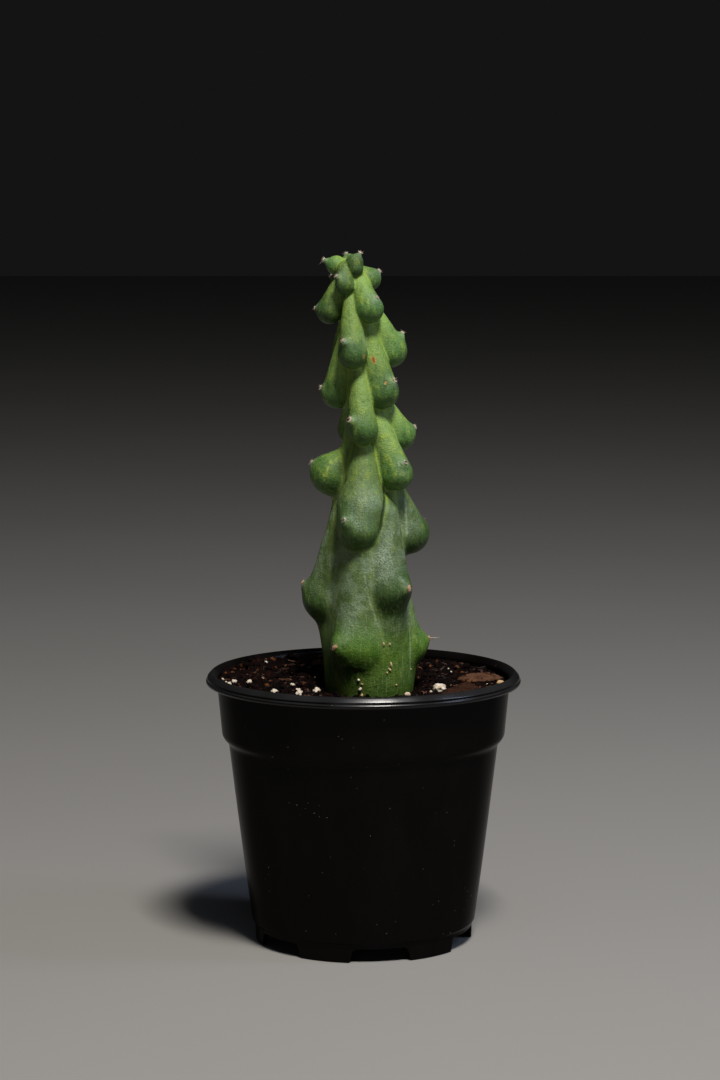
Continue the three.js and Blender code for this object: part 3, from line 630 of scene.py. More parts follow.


# Marks on the skin, by azimuth and height: creases pressed in and darkened with painted shade, pale lines on
# ridges, yellow flecks, corky scabs and spots with a thick bloom and painted sheen; the first number of a row
# is its width
skinMarks = {
    # creases are pressed into the skin and darkened with painted shade
    "creaseAndShade": [
        (1.0, (32, 234.5), (37.5, 227.4), (27, 222.7), (21.5, 216.4), (18.7, 211), (11.5, 203.2)),
        (1.0, (-27.4, 237.2), (-35.5, 232.6), (-43, 227), (-50, 221), (-55, 215), (-57, 209), (-54, 203.7)),
    ],
    "pale": [
        (0.8, (93.1, 227.1), (87.2, 223.7), (83.6, 219.8), (81.1, 215.8), (79.6, 211.8), (78.3, 207.9),
         (77.8, 204.6), (79, 201.4)),
        (0.8, (-3.9, 187), (2, 173.7), (10.8, 162.6)),
        (0.8, (66.5, 166), (70.1, 159.7), (69.1, 154.1), (68.2, 148.5), (67, 142.9), (69.2, 137.1),
         (71.9, 130.4)),
        (1.2, (45.5, 242.7), (44.5, 241.5)),
    ],
    "lemon": [
        (1.0, (-67, 242), (-63.4, 241)), (0.8, (-63.8, 239.6), (-63.6, 237.6)),
        (1.2, (-63, 235.3), (-65.6, 235.5)), (0.7, (44.8, 236.8), (43, 236.2)),
        (0.7, (36, 233), (37.5, 233)), (0.5, (34.4, 208.1), (36, 207.2)),
        (0.5, (37.2, 206.4), (37.8, 205.6)), (0.5, (-45.4, 180.2), (-42, 181)),
        (0.5, (-28.7, 183.4), (-27, 182)), (0.5, (-6.9, 197.3), (-5, 197)),
        (0.5, (-3.6, 180.7), (-3, 179.5)), (0.7, (70.2, 138.6), (70.2, 137.2)),
    ],
    "scab": [(1.5, (31.6, 293.6), (31.6, 292)), (0.9, (8.3, 295), (9, 294.4)), (0.8, (41, 282), (40, 281.4))],
    # spots of thick bloom, partly painted sheen on the bulbs
    "heavyBloomAndSheen": [(7.0, (0, 223), (-8, 213)), (5.5, (15.3, 197), (18, 190)), (4.5, (-21, 162), (-25, 155.8)),
             (3.0, (46.5, 239.5), (48, 237)), (2.5, (15.6, 300.3), (15, 303)),
             (1.1, (-26, 154.6), (-21.6, 156.2)), (1.1, (36.4, 184.2), (33.4, 186.2))],
}


def nearMark(points, row):  # 1 on the mark, falling to 0 over its width
    width, *corners = row
    near = np.zeros(len(points))
    for i, ((azimuth, height), (nextAzimuth, nextHeight)) in enumerate(zip(corners, corners[1:])):
        for t in np.linspace(0, 1, 10):
            share = (i + t) / (len(corners) - 1)
            # long marks taper
            fade = min(1, 0.1 + 4 * share, 0.1 + 4 * (1 - share)) if len(corners) > 3 else 1
            z = height + t * (nextHeight - height)
            place, _ = skinRound(azimuth + t * (nextAzimuth - azimuth), z)
            close = np.flatnonzero(np.abs(points[:, 2] - z) < 2.5 * width)
            off = ((points[close] - place) ** 2).sum(1)
            near[close] = np.maximum(near[close], fade * np.exp(-off / width ** 2))
    return near


# how much paler or darker than the rest a tubercle is, partly its own colour and partly painted light and
# shade for how it is lit; the others differ a little by chance
tubercleToneAndShade = {
    ("front", 0): -0.5, ("front", 1): -0.4, ("front", 2): 0.0,
    ("frontRight", 0): -0.9, ("frontRight", 3): 0.6, ("frontRight", 4): -1.0,
    ("right", 1): 0.4, ("right", 2): 0.7, ("right", 3): -0.8,
    ("left", 0): 0.7, ("left", 1): -0.9, ("left", 3): 0.3, ("left", 4): -0.8,
}


def makeStem(material):
    cell = stemSizes["cell"]
    zs = np.concatenate([np.arange(86.5, 119, 4.6), np.arange(119.3, 349, cell)])
    points, faces = skinNet(stemField, np.arange(-35, 43, cell), np.arange(-34, 36, cell), zs)
    for _ in range(2):
        here, slope = slopeOf(stemField, points)
        move = -here[:, None] * slope / np.maximum(0.25, (slope ** 2).sum(1))[:, None]
        length = np.linalg.norm(move, axis=1)[:, None]
        points = points + move * np.minimum(1, 0.4 * cell / np.maximum(length, 1e-9))
    shares = np.zeros((len(points), len(tubercles) + 1))
    stemField(points, shares)
    _, slope = slopeOf(stemField, points)
    out = slope / np.maximum(1e-6, np.linalg.norm(slope, axis=1))[:, None]
    order = np.sort(shares, axis=1)
    valley = order[:, -2] / np.maximum(order[:, -1], 1e-12)
    owner = np.argmax(shares[:, :-1], axis=1)
    owned = shares[np.arange(len(points)), owner] / shares.sum(1)
    pick = lambda key: np.array([t[key] for t in tubercles])[owner]
    # how far down its tubercle a point lies: 0 on the skirt, 1 on the belly's underside and the nose
    run = pick("nose") - pick("middle")
    ahead = ((points - pick("middle")) * run).sum(1) / (run * run).sum(1)
    below = (pick("middle")[:, 2] - points[:, 2]) / pick("size")
    bulb = 0.78 + 0.3 * ahead + 0.42 * below + 0.1 * (pick("rank") == 0)
    bulb = np.clip(bulb, 0, 1) * np.clip(owned * 1.8 - 0.4, 0, 1) * np.clip((1.9 - below) / 0.7, 0, 1)
    marks = {kind: np.max([nearMark(points, row) for row in rows], axis=0)
             for kind, rows in skinMarks.items()}
    fromTip = np.linalg.norm(points - pick("tip"), axis=1) / stemSizes["areoleBloom"]
    heavyBloomAndSheen = np.maximum(marks["heavyBloomAndSheen"], np.exp(-fromTip ** 2))
    # the skin is pressed together where two tubercles meet
    pair = np.sort(shares[:, :-1], axis=1)
    meeting = (pair[:, -2] / np.maximum(pair[:, -1], 1e-12)) ** 3
    meeting *= np.clip(1.6 * pair[:, -1] / shares.sum(1) - 0.5, 0, 1)
    creaseAndShade = np.maximum(1.2 * marks["creaseAndShade"], 0.6 * meeting)
    rng = np.random.default_rng(83)
    tones = [tubercleToneAndShade.get((t["rib"], t["rank"]), rng.uniform(-0.4, 0.4)) for t in tubercles]
    tone = shares[:, :-1] @ np.array(tones) / shares.sum(1)
    tone = tone * np.where((tone < 0) & (pick("rank") > 0), 0.3 + 0.7 * bulb, 1)
    lumps = sum(depth * latticeNoise(points * stretch, size, seed)
                for depth, stretch, size, seed in stemSizes["lumps"])
    above = np.clip((points[:, 2] - stemSizes["smoothTo"]) / 6, 0, 1)
    points = points + out * ((lumps - stemSizes["creaseDepth"] * creaseAndShade) * above)[:, None]
    return meshPiece("cactus_skin", points, faces, material,
                     {"bulb": bulb, "valley": valley, **marks, "heavyBloomAndSheen": heavyBloomAndSheen, "creaseAndShade": creaseAndShade, "tone": tone})


skinPatterns = {  # the size of a blotch along x, y and z in mm, then the noise's detail and roughness
    "blotch": (9, 9, 9, 4, 0.5),
    "mottle": (3.2, 3.2, 5.12, 5, 0.62),
    "grain": (0.75, 0.75, 0.75, 3, 0.6),
    "lines": (0.9, 0.9, 10.8, 2, 0.5),
    "wrinkle": (4.4, 4.4, 1.1, 3, 0.6),
}
neckShades = ("5f7648", "7f9f4e")  # on old skin, on new
bellyShades = ("4b6e32", "4b7038")


# Living cactus skin: waxy, lime green on new growth, bluer and duller on old bellies, pale bloom
def makeSkin():
    material, shader, add, place = newMaterial("cactus skin waxy")
    bulb, valley, heavyBloomAndSheen, creaseAndShade, pale, lemon, scab, tone = [
        add("Attribute", attribute_name=name).outputs["Fac"]
        for name in ("bulb", "valley", "heavyBloomAndSheen", "creaseAndShade", "pale", "lemon", "scab", "tone")]
    blotch, mottle, grain, lines, wrinkle = [
        add("TexNoise", add("Mapping", {"Vector": place, "Scale": perMetre(*sizes)}), 1, detail, roughness)
        for *sizes, detail, roughness in skinPatterns.values()]
    height = add("SeparateXYZ", place).outputs["Z"]
    upward = add("SeparateXYZ", add("NewGeometry").outputs["Normal"]).outputs["Z"]
    young = product(add, (height, 0.20, 0.30))
    neck, belly = [add("Mix", young, *shades, **coloured) for shades in (neckShades, bellyShades)]
    patchy = add("Math", product(add, blotch, 0.5), product(add, mottle, 0.3))
    amount = product(add, (add("Math", bulb, patchy), 0.6, 1.35))  # how far it is a belly
    shade = layered(
        add, add("Mix", amount, neck, belly, **coloured),
        ("5a8226", (height, 0.172, 0.146, 0, 0.8)),  # the foot
        ("2f4a12", (height, 0.146, 0.131, 0, 0.5)),  # painted shade close to the soil
        ("93b043", (valley, 0.2, 0.85), (height, 0.18, 0.24, 0.15, 0.65)),  # fresh growth in the valleys
        ("8fa338", (mottle, 0.5, 0.72), (height, 0.17, 0.24, 0.3, 0.7)),  # yellow mottle
        ("365219", (mottle, 0.47, 0.32), (amount, 0, 1, 0.45, 0.75)),  # dark mottle
        ("2a4314", (upward, 0.05, -0.6), (height, 0.19, 0.225, 0.7, 0.35)))  # painted shade on the undersides, deeper low down
    # each tubercle's tone, partly painted light and shade, scales how bright its skin is
    shade = add("HueSaturation", {"Color": shade, "Value": product(add, (tone, -1, 1, 0.62, 1.38))})
    # bloom lies in patches on old necks and thickly round the areoles, less at the foot; the marked spots
    # add painted sheen, and less of it underneath is painted shade
    patches = product(add, (blotch, 0.4, 0.6), (amount, 0, 1, 1, 0.15), (height, 0.24, 0.205, 0.05, 0.9))
    bloomAndSheen = product(add, add("Math", patches, heavyBloomAndSheen), (height, 0.148, 0.172, 0.12, 1),
                    (upward, -0.35, 0.3, 0.1, 1), (grain, 0.35, 0.71, 0.22, 1), 0.66)
    uneven = add("Math", product(add, mottle, 0.8), grain)
    cork = add("Mix", product(add, (scab, 0.6, 0.95)), "c2964f", "8a5c28", **coloured)
    shade = layered(
        # the bloom, which carries the painted sheen and the painted shade underneath
        add, shade, ("a3b8a0", bloomAndSheen),
        ("b4c480", (lines, 0.5, 0.8), (height, 0.16, 0.18, 0.3, 0.14)),  # pale streaks, most at the foot
        # painted shade in the creases
        ("24380f", (creaseAndShade, 0.2, 0.85, 0, 0.9)),
        ("a8bd98", (add("Math", pale, uneven), 1.2, 1.8, 0, 0.5)),  # worn ridges
        ("b4c25c", (add("Math", lemon, uneven), 1.25, 2, 0, 0.5)),  # yellow flecks
        (cork, (add("Math", scab, grain), 0.95, 1.25)))
    complete(shader, add, {
        "Base Color": shade, "Roughness": product(add, (blotch, 0.3, 0.7, 0.36, 0.54)),
        "Subsurface Weight": 0.10, "Subsurface Radius": (0.6, 1.0, 0.3), "Subsurface Scale": 2.0 * mm,
        "Specular IOR Level": 0.28}, (grain, 0.34), (lines, 0.12), (wrinkle, 0.16), (mottle, 0.8))
    return material


stemPiece = makeStem(makeSkin())
seat(stemPiece, "cactus_stem")
print("stem:", len(stemPiece.data.polygons), "faces")


# Areoles: a felt pad with short wool, and a few small spines, on each nose

areoleSizes = {
    "pad": 1.0,
    "across": 0.72,
    "upward": 1.15,
    "outward": 0.5,
    "woolStrands": 46,
    "woolLength": 0.75,
    "woolRadius": 0.07,
    "spineRadius": 0.13,
    "longSpine": 8.0,
    "longRadius": 0.33,
}


def spike(start, end, radius, sides):  # a thin pointed cone, closed at its foot
    run = end - start
    run = run / np.linalg.norm(run)
    across = np.cross(run, [0.31, 0.87, 0.38])
    across /= np.linalg.norm(across)
    other = np.cross(run, across)
    ring = [start + radius * (math.cos(a) * across + math.sin(a) * other)
            for a in np.linspace(0, 2 * math.pi, sides, endpoint=False)]
    faces = [[k, (k + 1) % sides, sides] for k in range(sides)]
    faces += [[0, k + 1, k] for k in range(1, sides - 1)]
    return np.array(ring + [end]), np.array(faces)


# a pad's size, and how far it leans over
padLooks = {("front", 4): (1.6, -50), ("frontRight", 4): (1.5, -10)}


def makeAreoles(feltMaterial, spineMaterial):
    rng = np.random.default_rng(7)
    ball, ballFaces = ballMesh(3)
    felt, spines = [], []
    for tubercle in tubercles:
        out, surface = tubercle["out"], tubercle["tip"]
        upward = np.array([0, 0, 1.0]) - out * out[2]
        upward /= np.linalg.norm(upward)
        across = np.cross(out, upward)
        lowest = tubercle["rank"] == 4 and tubercle["middle"][2] < 185
        dark = tubercle["rank"] in (2, 3)
        usual = 1.35 if lowest else 1.25 if dark else 1
        grown, leanDeg = padLooks.get((tubercle["rib"], tubercle["rank"]), (usual, 0))
        pad = areoleSizes["pad"] * (0.85 + 0.3 * rng.random()) * grown
        c, s = math.cos(math.radians(leanDeg)), math.sin(math.radians(leanDeg))
        upward, across = c * upward + s * across, c * across - s * upward
        lumpy = dented(ball, (0.16, 5, surface, 2.1, 31))
        wide, high = areoleSizes["across"] * pad, areoleSizes["upward"] * pad
        local = lumpy * [wide, high, areoleSizes["outward"] * pad]
        felt.append((surface + local[:, :1] * across + local[:, 1:2] * upward + local[:, 2:] * out, ballFaces,
                     1.5 if lowest else 0.7 + 0.2 * rng.random() if dark else rng.random()))
        if dark:  # stubs of old spines sit in the middle
            spines.append((surface + 0.34 * pad * out + 0.5 * pad * lumpy, ballFaces, 0.0))
        for _ in range(areoleSizes["woolStrands"]):
            u, v = rng.normal(size=2) * 0.42
            start = surface + across * wide * u + upward * high * v + out * 0.25 * pad
            lean = across * u + upward * v + rng.normal(size=3) * 0.3
            end = start + (out + lean) * areoleSizes["woolLength"] * (0.4 + 0.5 * rng.random())
            felt.append((*spike(start, end, areoleSizes["woolRadius"], 3), rng.random()))
        for _ in range(2 + int(rng.integers(0, 3))):
            lean = across * rng.normal() * 0.7 + upward * rng.normal() * 0.6
            length = 1.0 + 0.9 * rng.random()
            start = surface + lean * 0.35 * pad
            spine = spike(start, start + (out + lean) * length, areoleSizes["spineRadius"], 6)
            spines.append((*spine, 0.2 + 0.3 * rng.random()))
        if tubercle["rib"] == "right" and tubercle["rank"] == 4:  # the one long spine
            end = surface + np.array([1, 0, 0.06]) * (areoleSizes["longSpine"] - 1.2)
            spines.append((*spike(surface, end, areoleSizes["longRadius"], 8), 1.0))
    return gather("areole_felt", felt, feltMaterial), gather("areole_spines", spines, spineMaterial)


# Areole felt: short matted wool, pinkish tan with greyer tufts
def makeFelt():
    material, shader, add, place = newMaterial("areole wool felted")
    tone = add("Attribute", attribute_name="tone").outputs["Fac"]
    tuft = add("TexNoise", place, perMetre(0.6), 3)
    shade = layered(add, "b09a86", ("e2d2c0", (tuft, 0.35, 0.7)), ("7d6258", (tone, 0.7, 1, 0, 0.6)),
                    ("c4926a", (tone, 1.1, 1.5, 0, 0.8)))
    complete(shader, add, {"Base Color": shade, "Roughness": 0.95, "Sheen Weight": 0.3}, (tuft, 0.15))
    return material


# Spines: dry horn, dark grey-brown on the short ones, pale straw on the long one
def makeHorn():
    material, shader, add, place = newMaterial("spine horn dry")
    tone = add("Attribute", attribute_name="tone").outputs["Fac"]
    streak = add("TexNoise", place, perMetre(0.5), 2)
    shade = layered(add, "4a3a34", ("cdbfb2", (tone, 0.2, 0.9)), ("2e2522", (streak, 0.4, 0.7, 0, 0.4)))
    complete(shader, add, {"Base Color": shade, "Roughness": 0.5})
    return material


for piece in makeAreoles(makeFelt(), makeHorn()):
    seat(piece)
print("areoles:", len(tubercles))


# Soil: peat and bark potting mix, a rough surface with clods; crumbs, bark fines and fibres lie on it

soilSizes = {
    "level": 129.0,
    "columns": 600,
    "rings": 66,
    "bankDeg": 139.0,
    "farRadius": 71.0,
    "gap": 0.35,
    "bottom": 9.15,
    "wallHeights": (9.2, 10.9, 40.0, 70.0, 100.6, 105.6, 124.0),
    "holeGap": 0.12,
    "holeTop": 120.0,
    "scatter": 70.5,
    "scatterEdge": 71.4,
    "wallTop": 131.0,
    "bottomInset": 0.3,
    "crumbs": (2600, 0.45, 1.5, 3),  # how many, the smallest, how much bigger, how rare the big ones are
    "lumps": (260, 1.3, 2.0, 2),
    "fines": (420, 0.9, 3, 2),
    "crumbShape": (1, 0.8, 0.65),
    "bitShape": (1, 0.7, 0.5),
    "lumpShape": (1, 0.85, 0.6),
    "lumpFront": -64,  # no lumps in front of this
    "fineThick": 0.5,
    "fineBend": 0.06,
}
noiseReach = 90  # each small shape takes its dents from a place of its own in the noise

loosePieces = [f"perlite_{i}" for i in range(1, 16)] + [f"bark_chip_{i}" for i in range(1, 4)]

potInner = [(8.8, 53.7), (10.6, 55.3), (101.0, 66.7), (105.2, 70.0), (133.2, 72.9)]  # height, radius

clods = [  # x, y, radius, height
    (-30.5, 9, 6, 3.0), (38, 30, 9, 3.2), (-52, 36, 9, 2.0), (16, 44, 10, 2.4), (-12, 58, 9, 2.0),
    (-50, -18, 8, 1.6), (52, -28, 9, 1.4), (8, -48, 12, 1.5), (-24, -50, 9, 1.4), (60, 26, 8, 1.6),
    (44, 14, 6, 1.8), (-60, 10, 6, 1.4),
]


def soilHeight(x, y):
    far = np.hypot(x, y) / soilSizes["farRadius"]
    lumps = (0.6 * np.sin(0.21 * x + 1.3) * np.cos(0.17 * y - 0.6) + 0.45 * np.sin(0.43 * x - 0.37 * y + 0.9)
             + 0.35 * np.sin(0.71 * y + 0.29 * x) * np.cos(0.58 * x - 1.1))
    turn = np.arctan2(y, x) - math.radians(soilSizes["bankDeg"])
    dip = 2.2 * np.exp(-((x - 3) / 21) ** 2 - ((y + 42) / 19) ** 2)
    dip = dip + 4.4 * np.exp(-(np.maximum(0, np.hypot(x - 2.9, y) - 22) / 7) ** 2)
    return soilSizes["level"] + lumps - dip + far ** 3 * (2.2 + 2.1 * np.cos(turn))


def roughSoil(x, y):  # the same ground with its clods and crumb
    x, y = np.asarray(x, float), np.asarray(y, float)
    flat = np.stack([x, y, 0 * x], 1)
    rough = 0.6 * latticeNoise(flat, 5, 41) + 0.6 * latticeNoise(flat, 2.3, 42)
    z = soilHeight(x, y) + (rough + 0.35 * latticeNoise(flat, 1.1, 43))
    for cx, cy, radius, height in clods:
        d = np.hypot(x - cx, y - cy) / radius * (1 + 0.3 * latticeNoise(flat, 4, 44))
        z = z + height * np.clip(1 - d * d, 0, 1) * 0.75
    return np.minimum(z, soilSizes["level"] + 6)


def makeSoil(material):
    columns, rings = soilSizes["columns"], soilSizes["rings"]
    turn = np.linspace(0, 2 * np.pi, columns, endpoint=False)
    axis = stemAxis(stemSizes["soilLevel"])
    holeRadius = stemSizes["rootRadius"] + soilSizes["holeGap"]
    outer = along(potInner, soilSizes["wallTop"]) - soilSizes["gap"]
    rows = []
    for i, z in enumerate(soilSizes["wallHeights"]):
        radius = along(potInner, z) - soilSizes["gap"] - (0 if i else soilSizes["bottomInset"])
        rows.append(np.stack([radius * np.cos(turn), radius * np.sin(turn), 0 * turn + z], 1))
    edge = along(potInner, soilHeight(outer * np.cos(turn), outer * np.sin(turn))) - soilSizes["gap"]
    for i in range(rings + 1):
        share = i / rings
        radius = edge + (holeRadius - edge) * share
        x, y = radius * np.cos(turn) + axis[0] * share, radius * np.sin(turn) + axis[1] * share
        rows.append(np.stack([x, y, roughSoil(x, y)], 1))
    hole = rows[-1]
    for z in (soilSizes["holeTop"], stemSizes["rootBottom"] - soilSizes["gap"]):
        rows.append(np.stack([hole[:, 0], hole[:, 1], 0 * turn + z], 1))
    points, faces = skinOver([0, 0, soilSizes["bottom"]], rows, [axis[0], axis[1], rows[-1][0, 2]])
    return meshPiece("potting_soil", points, faces, material)


def scattered(rng, kind):  # places and sizes for pieces on the soil, clear of all the others
    count, smallest, bigger, rarity = soilSizes[kind]
    sizes = smallest + bigger * rng.random(count) ** rarity
    angle, radius = rng.random(count) * 2 * np.pi, soilSizes["scatter"] * np.sqrt(rng.random(count))
    x, y = radius * np.cos(angle), radius * np.sin(angle)
    axis = stemAxis(stemSizes["soilLevel"])
    clear = np.hypot(x - axis[0], y - axis[1]) > stemSizes["radius"] + sizes * 0.6
    clear &= radius < soilSizes["scatterEdge"] - sizes
    for name in loosePieces:
        low, high = (np.array(corner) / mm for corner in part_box(name))
        beside = (x <= low[0] - sizes) | (x >= high[0] + sizes)
        clear &= beside | (y <= low[1] - 2.5 * sizes) | (y >= high[1] + sizes)
    x, y, sizes = x[clear], y[clear], sizes[clear]
    return np.stack([x, y, roughSoil(x, y)], 1), sizes


# bits of orange bark seen from the front: x, y, radius
orangeBits = [
    (-65.4, 21.9, 1.3), (-62.6, 25.6, 1.8), (-61.2, 24, 1.2), (-58.8, 27.2, 1.1), (-69.6, 10.6, 1.0),
    (-52.5, 46, 1.6), (-50.5, 48, 1.0), (-47, 52, 1.2), (-52.4, 21.2, 1.2), (-62.2, -17, 1.1),
    (34.8, 54.3, 1.4), (38.2, 56.7, 1.3), (39.2, 49.8, 0.8), (56.6, 29.9, 0.9), (62, 33, 0.7),
    (40, 57, 0.7), (-15.2, -27.4, 1.1), (-12, -28, 1.2), (-54, 30, 0.9), (-45, 33, 1.1), (-68, 4, 0.9),
    (-55, -22, 0.9), (28, 48, 0.9),
]
# and on the rear edge of a bark chip: x, y, height, radius
chipBits = [
    (49.2, -20.9, 134.3, 0.8), (50.7, -20.2, 134.8, 0.9), (52, -19.4, 135.1, 0.8), (53.7, -20.7, 134.4, 0.9),
    (55.4, -21.7, 133.8, 0.7), (51.3, -21.8, 133.9, 0.6),
]


def makeCrumbs(material):
    rng = np.random.default_rng(17)
    ball, faces = ballMesh(2)
    parts = []
    for place, size in zip(*scattered(rng, "crumbs")):
        lumpy = dented(ball, (0.34, 3, rng.random(3) * noiseReach, 1.7, 51))
        points = turned(lumpy * soilSizes["crumbShape"], rng) * size
        parts.append((points + place + [0, 0, 0.1 * size], faces, rng.random()))
    placed = [(x, y, roughSoil([x], [y])[0] + 0.3 * size, size) for x, y, size in orangeBits]
    for *place, size in placed + chipBits:
        lumpy = dented(ball, (0.6, 3, rng.random(3) * noiseReach, 1.5, 51))
        points = turned(lumpy * soilSizes["bitShape"], rng) * 0.85 * size
        parts.append((points + place, faces, 0.97 + 0.03 * rng.random()))
    return gather("soil_crumbs", parts, material)


def makeClods(material):  # bigger crumbs, pressed flat, none at the very front
    rng = np.random.default_rng(53)
    ball, faces = ballMesh(3)
    places, sizes = scattered(rng, "lumps")
    keep = places[:, 1] > soilSizes["lumpFront"]
    parts = []
    for place, size in zip(places[keep], sizes[keep]):
        lumpy = dented(ball, (0.34, 1.6, rng.random(3) * noiseReach, 1.0, 54),
                       (0.16, 5, rng.random(3) * noiseReach, 1.0, 55))
        points = turned(lumpy * soilSizes["lumpShape"], rng) * size
        parts.append((points * [1, 1, 0.75] + place + [0, 0, 0.15 * size], faces, 0.85 * rng.random()))
    return gather("soil_clods", parts, material)


def sliver(length, width, thick, bend, rng):  # a torn strip: flat, tapered, a little curved
    steps = 7
    t = np.linspace(-1, 1, steps)
    taper = (1 - np.abs(t) ** 3) * (0.75 + 0.5 * rng.random(steps)) + 0.12
    centre = np.stack([t * length / 2, bend * length * t * t, 0.06 * length * rng.normal(size=steps)], 1)
    rings = []
    for k in range(steps):
        half = np.array([[0, -width / 2, -thick / 2], [0, width / 2, -thick / 2], [0, width / 2, thick / 2],
                         [0, -width / 2, thick / 2]]) * taper[k]
        rings.append(centre[k] + half)
    points = np.concatenate(rings)
    faces = []
    for k in range(steps - 1):
        for c in range(4):
            d = (c + 1) % 4
            quad = [4 * k + c, 4 * k + d, 4 * k + 4 + d, 4 * k + 4 + c]
            faces += [[quad[0], quad[2], quad[1]], [quad[0], quad[3], quad[2]]]
    last = 4 * (steps - 1)
    faces += [[0, 1, 2], [0, 2, 3], [last, last + 2, last + 1], [last, last + 3, last + 2]]
    return points, np.array(faces)


def laid(points, x, y, z, turn, tilt, roll=0.0):  # rolled, tilted, turned, then moved to its place
    for angle, (a, b) in ((roll, (1, 2)), (tilt, (2, 0)), (turn, (0, 1))):
        c, s = math.cos(angle), math.sin(angle)
        moved = points.copy()
        moved[:, a] = c * points[:, a] - s * points[:, b]
        moved[:, b] = s * points[:, a] + c * points[:, b]
        points = moved
    return points + [x, y, z]


# splinters of bark seen from the front: x, y, length, width, turn, tone
splinters = [
    (-40.2, 8.8, 6.2, 1.3, 13, 0.93), (30.6, 37.9, 6.6, 1.0, 10, 0.95), (51.8, 44, 6.2, 1.1, -25, 0.85),
    (48.3, 39.5, 5.0, 1.1, 65, 0.85), (-36.4, 40.1, 3.2, 0.6, 5, 0.9), (-40.3, 34, 4.6, 1.6, 0, 0.6),
    (64.2, -7, 2.8, 0.7, -80, 0.97), (-56, 16, 5, 1.2, 30, 0.8), (-66, 14, 4, 1.3, 60, 0.9),
    (60.5, 31.8, 4.5, 2.4, -10, 0.2),
]


def makeFines(material):
    rng = np.random.default_rng(29)
    parts = []
    for x, y, length, width, turn, tone in splinters:
        shape, faces = sliver(length, width, soilSizes["fineThick"], soilSizes["fineBend"], rng)
        z = roughSoil([x], [y])[0] + 0.8
        parts.append((laid(shape, x, y, z, math.radians(turn), 0.1 * rng.normal()), faces, tone))
    for place, reach in zip(*scattered(rng, "fines")):
        wide, thick = 0.35 + 1.1 * rng.random() ** 2, 0.25 + 0.3 * rng.random()
        shape, faces = sliver(2 * reach, wide, thick, 0.12 * rng.normal(), rng)
        place = place + [0, 0, 0.35]
        points = laid(shape, *place, rng.random() * 6.3, 0.25 * rng.normal(), rng.normal() * 0.5)
        parts.append((points, faces, rng.random()))
    return gather("bark_fines", parts, material, smoothShaded=False)


# Potting mix: damp peat and composted bark, almost black with red-brown and tan grains
def makePeat(name, loose):
    material, shader, add, place = newMaterial(name)
    clump = add("TexNoise", place, perMetre(5), 4)
    grain = add("TexNoise", place, perMetre(0.9), 4, 0.65)
    fibre = add("TexNoise", add("Mapping", {"Vector": place, "Scale": perMetre(3.3, 1.1, 1.1)}), 1, 3, 0.6)
    shade = layered(add, "050202", ("110806", (clump, 0.35, 0.7)), ("26110b", (grain, 0.52, 0.76)),
                    ("4a2a1a", (fibre, 0.64, 0.78)))
    if loose:
        tone = add("Attribute", attribute_name="tone").outputs["Fac"]
        shade = layered(add, shade, ("2a130d", (tone, 0.72, 0.9)), ("6b3f22", (tone, 0.96, 0.995)))
    complete(shader, add, {"Base Color": shade, "Roughness": 0.92, "Specular IOR Level": 0.08},
             (grain, 0.5), (fibre, 0.35))
    return material


# Bark: dry, torn along the grain, red-brown with a paler pinkish face
def makeBark():
    material, shader, add, place = newMaterial("pine bark chipped")
    grain = add("TexNoise", add("Mapping", {"Vector": place, "Scale": perMetre(4.8, 1.2, 1.2)}), 1, 4, 0.65)
    fleck = add("TexNoise", place, perMetre(1.8), 3)
    patch = add("TexNoise", place, perMetre(4), 3)
    tone = add("Attribute", attribute_name="tone").outputs["Fac"]
    # tone sets how much of the pale face shows; the second chip's low tone is painted shade
    shade = layered(add, "2a140a", ("684835", (patch, 0.3, 0.6, 0.6, 1), tone),
                    ("22110a", (grain, 0.5, 0.68, 0, 0.8)), ("1a0d08", (fleck, 0.58, 0.66, 0, 0.8)))
    complete(shader, add, {"Base Color": shade, "Roughness": 0.85, "Specular IOR Level": 0.12},
             (grain, 0.8), (fleck, 0.5))
    return material


# Bark fines: the same bark broken small, from tan to dark
def makeFinesBark():
    material, shader, add, place = newMaterial("pine bark shredded")
    tone = add("Attribute", attribute_name="tone").outputs["Fac"]
    grain = add("TexNoise", place, perMetre(0.8), 3)
    shade = layered(add, "1c0f0a", ("553322", (tone, 0.2, 0.8)), ("8f623f", (tone, 0.9, 1)),
                    ("180d09", (grain, 0.5, 0.75)))
    complete(shader, add, {"Base Color": shade, "Roughness": 0.85})
    return material


# Perlite: expanded volcanic glass, chalk white, porous, a little soil in its pores
def makePerlite():
    material, shader, add, place = newMaterial("perlite expanded")
    pore = add("TexNoise", place, perMetre(0.8), 4, 0.6)
    patch = add("TexNoise", place, perMetre(2.5))
    tone = add("Attribute", attribute_name="tone").outputs["Fac"]
    shade = layered(add, "e8ddcb", ("cdb79e", (patch, 0.4, 0.7)), ("cba574", tone),
                    ("8d7562", (pore, 0.6, 0.78)), ("5f5248", (tone, 1, 2)))
    complete(shader, add, {"Base Color": shade, "Roughness": 0.9}, (pore, 0.3))
    return material


soilPiece = makeSoil(makePeat("peat potting mix damp", False))
seat(soilPiece, "soil")
looseMaterial = makePeat("peat crumbs loose", True)
for piece in (makeCrumbs(looseMaterial), makeClods(looseMaterial), makeFines(makeFinesBark())):
    seat(piece)
print("soil:", len(soilPiece.data.polygons), "faces,", soilSizes["crumbs"][0], "crumbs")


# Perlite: grains that stand in for the CAD ones, and dust and grit on the soil, the skin and the pot

perliteSizes = {"grains": 15, "relief": 0.34, "fineRelief": 0.15, "fit": 0.98, "gritShape": (1, 0.85, 0.7)}
dirtLooks = {"tone": 2.0, "tall": 0.7}  # dirt on the pot's wall is darker than any stain
yellowed = {13: 0.9, 15: 0.4}  # grains stained by the soil, and how much

